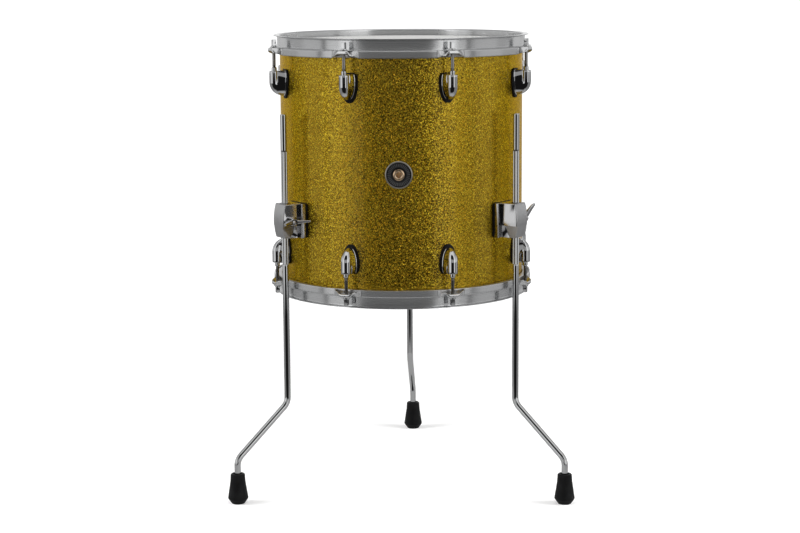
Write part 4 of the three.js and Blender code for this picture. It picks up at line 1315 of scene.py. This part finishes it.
def bracket_mesh():
    """Base and housing of a leg bracket, round the middle of the housing's height."""
    outer = leg_circle + BRACKET_REACH
    face = bracket_back + BRACKET_BASE_THICKNESS
    chamfer = face - BRACKET_CHAMFER
    half = BRACKET_HALF_HEIGHT
    low = -half - PAST
    near = wrap_radius - BRACKET_BASE_BLANK
    front = BRACKET_BASE_HALF - BRACKET_CHAMFER
    base = bevelled(prism([
        (-BRACKET_BASE_HALF, -near), (-BRACKET_BASE_HALF, -chamfer), (-front, -face),
        (front, -face), (BRACKET_BASE_HALF, -chamfer), (BRACKET_BASE_HALF, -near),
    ], -half, half), BRACKET_BASE_ROUND)
    bow = [(outer - BRACKET_RISE * t * t, half * t) for t in (k / 12 - 1 for k in range(25))]
    inside = chamfer - BRACKET_OVERLAP
    block = across_prism([(inside, -half), *bow, (inside, half)], -BRACKET_HALF_WIDTH, BRACKET_HALF_WIDTH)
    housing = bevelled(drafted(block, leg_circle, BRACKET_DRAFT), BRACKET_ROUND)
    whole = combined(base, [housing], "UNION")
    inner = BRACKET_HALF_WIDTH - CHIN_STEP
    start, end = (face + (outer - face) * share for share in SEAM_SHARES)
    under = -half - MM
    seam = [(start, CHIN_TOP), (start + SEAM_WIDTH, CHIN_TOP), (end + SEAM_WIDTH, under), (end, under)]
    chin = box_solid(CHIN_STEP, face, outer + PAST, low, CHIN_TOP)
    opening = outer - BRACKET_RISE - OPENING_WALL
    bolt_hole = lying_across(post(BOLT_HOLE, 0, BRACKET_HALF_WIDTH + PAST, 32))
    tools = [
        post(bracket_back, low, -low, 384),
        shifted(chin, x=inner + CHIN_STEP),
        shifted(chin, x=-inner - CHIN_STEP),
        across_prism(seam, inner - MM, BRACKET_HALF_WIDTH + 2 * MM),
        across_prism(seam, -BRACKET_HALF_WIDTH - 2 * MM, -inner + MM),
        shifted(post(LEG_BORE, low, -low), y=-leg_circle),
        shifted(post(POCKET_RADIUS, -POCKET_HALF, POCKET_HALF), y=-leg_circle),
        box_solid(OPENING_HALF, leg_circle - OPENING_HALF, opening, 0, -low),
        shifted(bolt_hole, y=-leg_circle),
    ]
    return flat_faced(combined(whole, tools, "DIFFERENCE"))


def dense(outline, step):
    """More points along an outline's long edges."""
    line = []
    for k, here in enumerate(outline):
        start = Vector(here)
        along = Vector(outline[(k + 1) % len(outline)]) - start
        pieces = max(1, round(along.length / step))
        line.extend(tuple(start + along * j / pieces) for j in range(pieces))
    return line


def bracket_plan(inset):
    """The bracket's base seen from the front, with a margin all round."""
    half = BRACKET_BASE_HALF + BRACKET_GASKET_MARGIN
    high = BRACKET_HALF_HEIGHT + BRACKET_GASKET_MARGIN_ABOVE
    corners = [(x * half, z * high, BRACKET_GASKET_CORNER) for x, z in ((1, -1), (1, 1), (-1, 1), (-1, -1))]
    plan = rounded(corners, closed=True, steps=6)
    return [(x * (1 - inset / half), z * (1 - inset / high)) for x, z in dense(plan, 4 * MM)]


def brackets():
    start = wrap_radius + CLEARANCE
    pad = pad_solid(bracket_plan, start, start + BRACKET_GASKET)
    original = bracket_mesh()
    for polygon in original.polygons:
        place, facing = polygon.center, polygon.normal
        front = facing.y < -SATIN_FACING and -place.y > leg_circle
        flank = abs(facing.x) > SATIN_FACING and -place.y > leg_circle - SATIN_CHIN
        polygon.material_index = 1 if front or (flank and place.z < CHIN_TOP) else 0
    heads = merged(*(shifted(screw_head(BRACKET_SCREW_RADIUS), z=z) for z in BRACKET_SCREWS))
    for side in SIDES:
        _, azimuth, height = polar(f"{side}_wing_turn")
        place = around(azimuth, height)
        mesh = transformed(original.copy(), place)
        mesh.materials.append(finishes["bracket"])
        mesh.materials.append(finishes["satin"])
        node = f"{side}_bracket"
        piece(f"{node}_casting", mesh, None, "drum", [node])
        piece(f"{node}_pad", moved(pad, place), "rubber", "drum", [f"{node}_gasket"])
        piece(f"{node}_screw_heads", moved(heads, place), "steel", "drum", [node])


def eye_bolt_solid():
    """The eye round the leg, and the threaded shank that the wing nut draws out."""
    edge = EYE_EDGE
    eye = turned(rounded([
        (EYE_INNER, -EYE_HALF, edge), (EYE_OUTER, -EYE_HALF, edge),
        (EYE_OUTER, EYE_HALF, edge), (EYE_INNER, EYE_HALF, edge)], closed=True, steps=3), 48, hollow=True)
    start = EYE_INNER + BOLT_IN_EYE
    end = NUT_SEAT + HUB_LENGTH + BOLT_PAST_NUT
    groove = BOLT_RADIUS - BOLT_THREAD_DEPTH
    grooves, tip = thread(BOLT_RADIUS, BOLT_THREAD_DEPTH, BOLT_THREAD_PITCH, start + MM, end - MM)
    shank = [(0, start), (groove, start), *grooves, (groove, tip), (groove - 0.6 * MM, end), (0, end)]
    return merged(shifted(eye, x=EYE_SHIFT), lying_across(turned(shank, 24)))


def wing(way):
    """One wing: flat sections from inside the hub's wall out to a round tip."""
    near = NUT_SEAT + HUB_LENGTH * WING_START
    neck = NUT_SEAT + HUB_LENGTH
    far = NUT_SEAT + WING_REACH
    root = WING_ROOT / WING_HALF_SPAN
    rings = []
    for step in range(19):
        t = root + (1 - root) * math.sin(math.pi / 2 * step / 18)
        low = near + (far - WING_TIP_WIDTH - near) * t ** WING_LOW_CURVE
        high = neck + (far - neck) * t ** WING_HIGH_CURVE
        tip = math.sqrt(max(0.02, 1 - max(0, (t - WING_TIP_START) / (1 - WING_TIP_START)) ** 2))
        centre = (low + high) / 2 + (1 - tip) * 0.5 * MM
        half = (high - low) / 2 * tip
        thick = (WING_THICKNESS / 2 + WING_SWELL * (1 - t) ** 2) * (0.35 + 0.65 * tip)
        ring = []
        for angle in round_turn(20):
            c, s = math.cos(angle), math.sin(angle)
            x = centre + half * math.copysign(abs(c) ** WING_SQUARENESS, c)
            z = thick * math.copysign(abs(s) ** WING_SQUARENESS, s)
            ring.append(Vector((x, way * WING_HALF_SPAN * t, z)))
        rings.append(ring)
    return skinned(rings)


def wing_nut_solid():
    outer = NUT_SEAT + HUB_LENGTH
    hub = lying_across(turned(rounded([
        (BOLT_HOLE, NUT_SEAT, 0.3 * MM), (HUB_RADIUS + 0.6 * MM, NUT_SEAT, 0.6 * MM),
        (HUB_RADIUS, NUT_SEAT + 5 * MM, 2 * MM), (HUB_RADIUS * 0.86, outer, MM),
        (HUB_RADIUS * 0.62, outer, 0.5 * MM), (BOLT_HOLE, outer - 2 * MM, 0),
    ], closed=True), 40, hollow=True))
    return merged(hub, wing(1), wing(-1))


# Legs and feet
def leg_rings(top):
    """(distance out, height, lean, radius, flute depth) down a leg's middle line."""
    slant = math.atan2(LEG_OFFSET, UPPER_BEND_HEIGHT - LOWER_BEND_HEIGHT)
    tangent = BEND_RADIUS * math.tan(slant / 2)
    foot_circle = leg_circle + LEG_OFFSET
    edge = LEG_TOP_ROUND
    rings = []
    for step in range(5):
        angle = math.pi / 2 * (1 - step / 4)
        drop, inset = edge * (1 - math.sin(angle)), edge * (1 - math.cos(angle))
        rings.append((leg_circle, top - drop, 0, LEG_RADIUS - inset, 0))
    flute_top = top - FLUTES_BELOW_TOP
    fade = FLUTE_FADE
    bottom = flute_top - FLUTED_LENGTH
    straight = [
        (top - edge - HOLD, 0), (flute_top + HOLD, 0), (flute_top, 0), (flute_top - fade / 2, 0.7),
        (flute_top - fade, 1), (flute_top - fade - HOLD, 1), (bottom + fade + HOLD, 1), (bottom + fade, 1),
        (bottom + fade / 2, 0.7), (bottom, 0), (bottom - HOLD, 0), (UPPER_BEND_HEIGHT + tangent + HOLD, 0),
    ]
    rings += [(leg_circle, height, 0, LEG_RADIUS, depth * FLUTE_DEPTH) for height, depth in straight]
    turns = [slant * step / 14 for step in range(15)]
    for turn in turns:
        out = leg_circle + BEND_RADIUS * (1 - math.cos(turn))
        height = UPPER_BEND_HEIGHT + tangent - BEND_RADIUS * math.sin(turn)
        rings.append((out, height, turn, LEG_RADIUS, 0))
    hold_out, hold_down = HOLD * math.sin(slant), HOLD * math.cos(slant)
    rings.append((out + hold_out, height - hold_down, slant, LEG_RADIUS, 0))
    below = []
    for turn in turns:
        out = foot_circle - BEND_RADIUS * (1 - math.cos(turn))
        height = LOWER_BEND_HEIGHT - tangent + BEND_RADIUS * math.sin(turn)
        below.append((out, height, turn, LEG_RADIUS, 0))
    below.append((out - hold_out, height + hold_down, slant, LEG_RADIUS, 0))
    rings += below[::-1]
    rings.append((foot_circle, LOWER_BEND_HEIGHT - tangent - HOLD, 0, LEG_RADIUS, 0))
    rings.append((foot_circle, LEG_END, 0, LEG_RADIUS, 0))
    return rings


def leg_solid(top):
    rings = []
    for out, height, turn, radius, depth in leg_rings(top):
        ring = []
        for angle in round_turn(FLUTES * 6):
            local = radius - depth * (0.5 - 0.5 * math.cos(FLUTES * angle)) ** FLUTE_CURVE
            across = local * math.sin(angle)
            away = local * math.cos(angle)
            ring.append(Vector((across, -out - away * math.cos(turn), height + away * math.sin(turn))))
        rings.append(ring)
    return skinned(rings)


def foot_solid():
    profile = rounded([(radius * MM, height * MM, bend * MM) for radius, height, bend in FOOT_PROFILE])
    return shifted(turned(profile, 64), y=-leg_circle - LEG_OFFSET)


def legs():
    """Each leg with its foot, eye bolt and wing nut."""
    bolt = shifted(eye_bolt_solid(), y=-leg_circle)
    nut = wing_nut_solid()
    leg = leg_solid(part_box("left_leg")[1].z)
    foot = foot_solid()
    for side in SIDES:
        _, azimuth, height = polar(f"{side}_wing_turn")
        place = around(azimuth, height)
        turn = Matrix.Rotation(math.radians(WING_ANGLES[side]), 4, "X")
        nut_place = place @ Matrix.Translation((0, -leg_circle, 0)) @ turn
        leg_place = around(azimuth)
        for name, solid, where, finish, part, slot, sharp in (
            ("bolt_bright", bolt, place, "steel", "eye_bolt", "bracket_chrome", SHARP_EDGE),
            ("wing_bright", nut, nut_place, "bracket", "wing_nut", "bracket_chrome", SHARP_EDGE_FINE),
            ("leg_rod", leg, leg_place, "chrome", "leg", "leg_chrome", SHARP_EDGE),
            ("foot_rubber", foot, leg_place, "rubber", "foot", "foot_rubber", SHARP_EDGE),
        ):
            body = "leg" if part == "foot" else part
            solid_here = moved(solid, where)
            piece(f"{side}_{name}", solid_here, finish, f"{side}_{body}", [f"{side}_{part}"], sharp)


# Badge and vent
def badge_and_vent():
    back = wrap_radius + CLEARANCE
    face = back + BADGE_THICKNESS
    rim = BADGE_RADIUS - BADGE_RIM
    profile = [
        (BADGE_HOLE, back), (BADGE_HOLE, face - 0.15 * MM), (BADGE_HOLE + 0.3 * MM, face),
        (rim - 0.2 * MM, face), (rim, face + 0.25 * MM), (rim + 0.4 * MM, back + BADGE_RIM_HEIGHT),
        (BADGE_RADIUS - 0.5 * MM, back + BADGE_RIM_HEIGHT - 0.1 * MM), (BADGE_RADIUS, face - 0.1 * MM),
        (BADGE_RADIUS, back),
    ]
    rings = []
    for distance, radius in profile:
        circle = [(distance * math.sin(angle), distance * math.cos(angle)) for angle in round_turn(96)]
        rings.append(on_shell(circle, radius))
    place = around(0, middle_height)
    badge = moved(skinned(rings, loop=True), place)
    piece("badge_disc", badge, "badge", "drum", ["badge"])
    low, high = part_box("vent_grommet")
    inner = AXIS.y - high.y
    outer = AXIS.y - low.y
    profile = rounded([
        (VENT_BORE, inner, 0.4 * MM), (VENT_FLANGE, inner, 0.4 * MM),
        (VENT_FLANGE, inner + 1.2 * MM, 0.3 * MM), (VENT_TUBE, inner + 1.8 * MM, 0),
        (VENT_TUBE, outer - 1.8 * MM, 0), (VENT_FLANGE, outer - 1.8 * MM, 0.2 * MM),
        (VENT_FLANGE, outer - 1.3 * MM, 0.6 * MM), (VENT_TUBE + 0.4 * MM, outer, MM),
        (VENT_BORE, outer - 1.4 * MM, 0.8 * MM)], closed=True)
    grommet = moved(lying_out(turned(profile, 64, hollow=True)), place)
    piece("vent_eyelet", grommet, "brass", "drum", ["vent_grommet"])


# Everything made and placed
finishes = {
    "sparkle": sparkle(),
    "wood": maple(),
    "coated": coated_film(),
    "clear": clear_film(),
    "aluminium": bright_aluminium(),
    "chrome": chrome("bright_chrome", (0.62, 0.625, 0.63), roughness=0.02, spread=0.02),
    "hoop": hoop_plating(),
    "bracket": chrome("bracket_plating", (0.50, 0.50, 0.505), roughness=0.09, spread=0.06),
    "steel": chrome("plain_steel", (0.47, 0.47, 0.475), roughness=0.22, spread=0.1),
    "rod": chrome("dull_rod_plating", (0.28, 0.27, 0.255), roughness=0.2, spread=0.1),
    "satin": satin_steel(),
    "rubber": rubber("black_rubber"),
    "badge": badge_enamel(),
    "brass": brass(),
}
copies = copies_tree()

camera()
lamps()
room()
floor()
shell_and_wrap()
heads()
hoops()
rods()
lugs()
brackets()
legs()
badge_and_vent()

scene.view_settings.view_transform = "Standard"
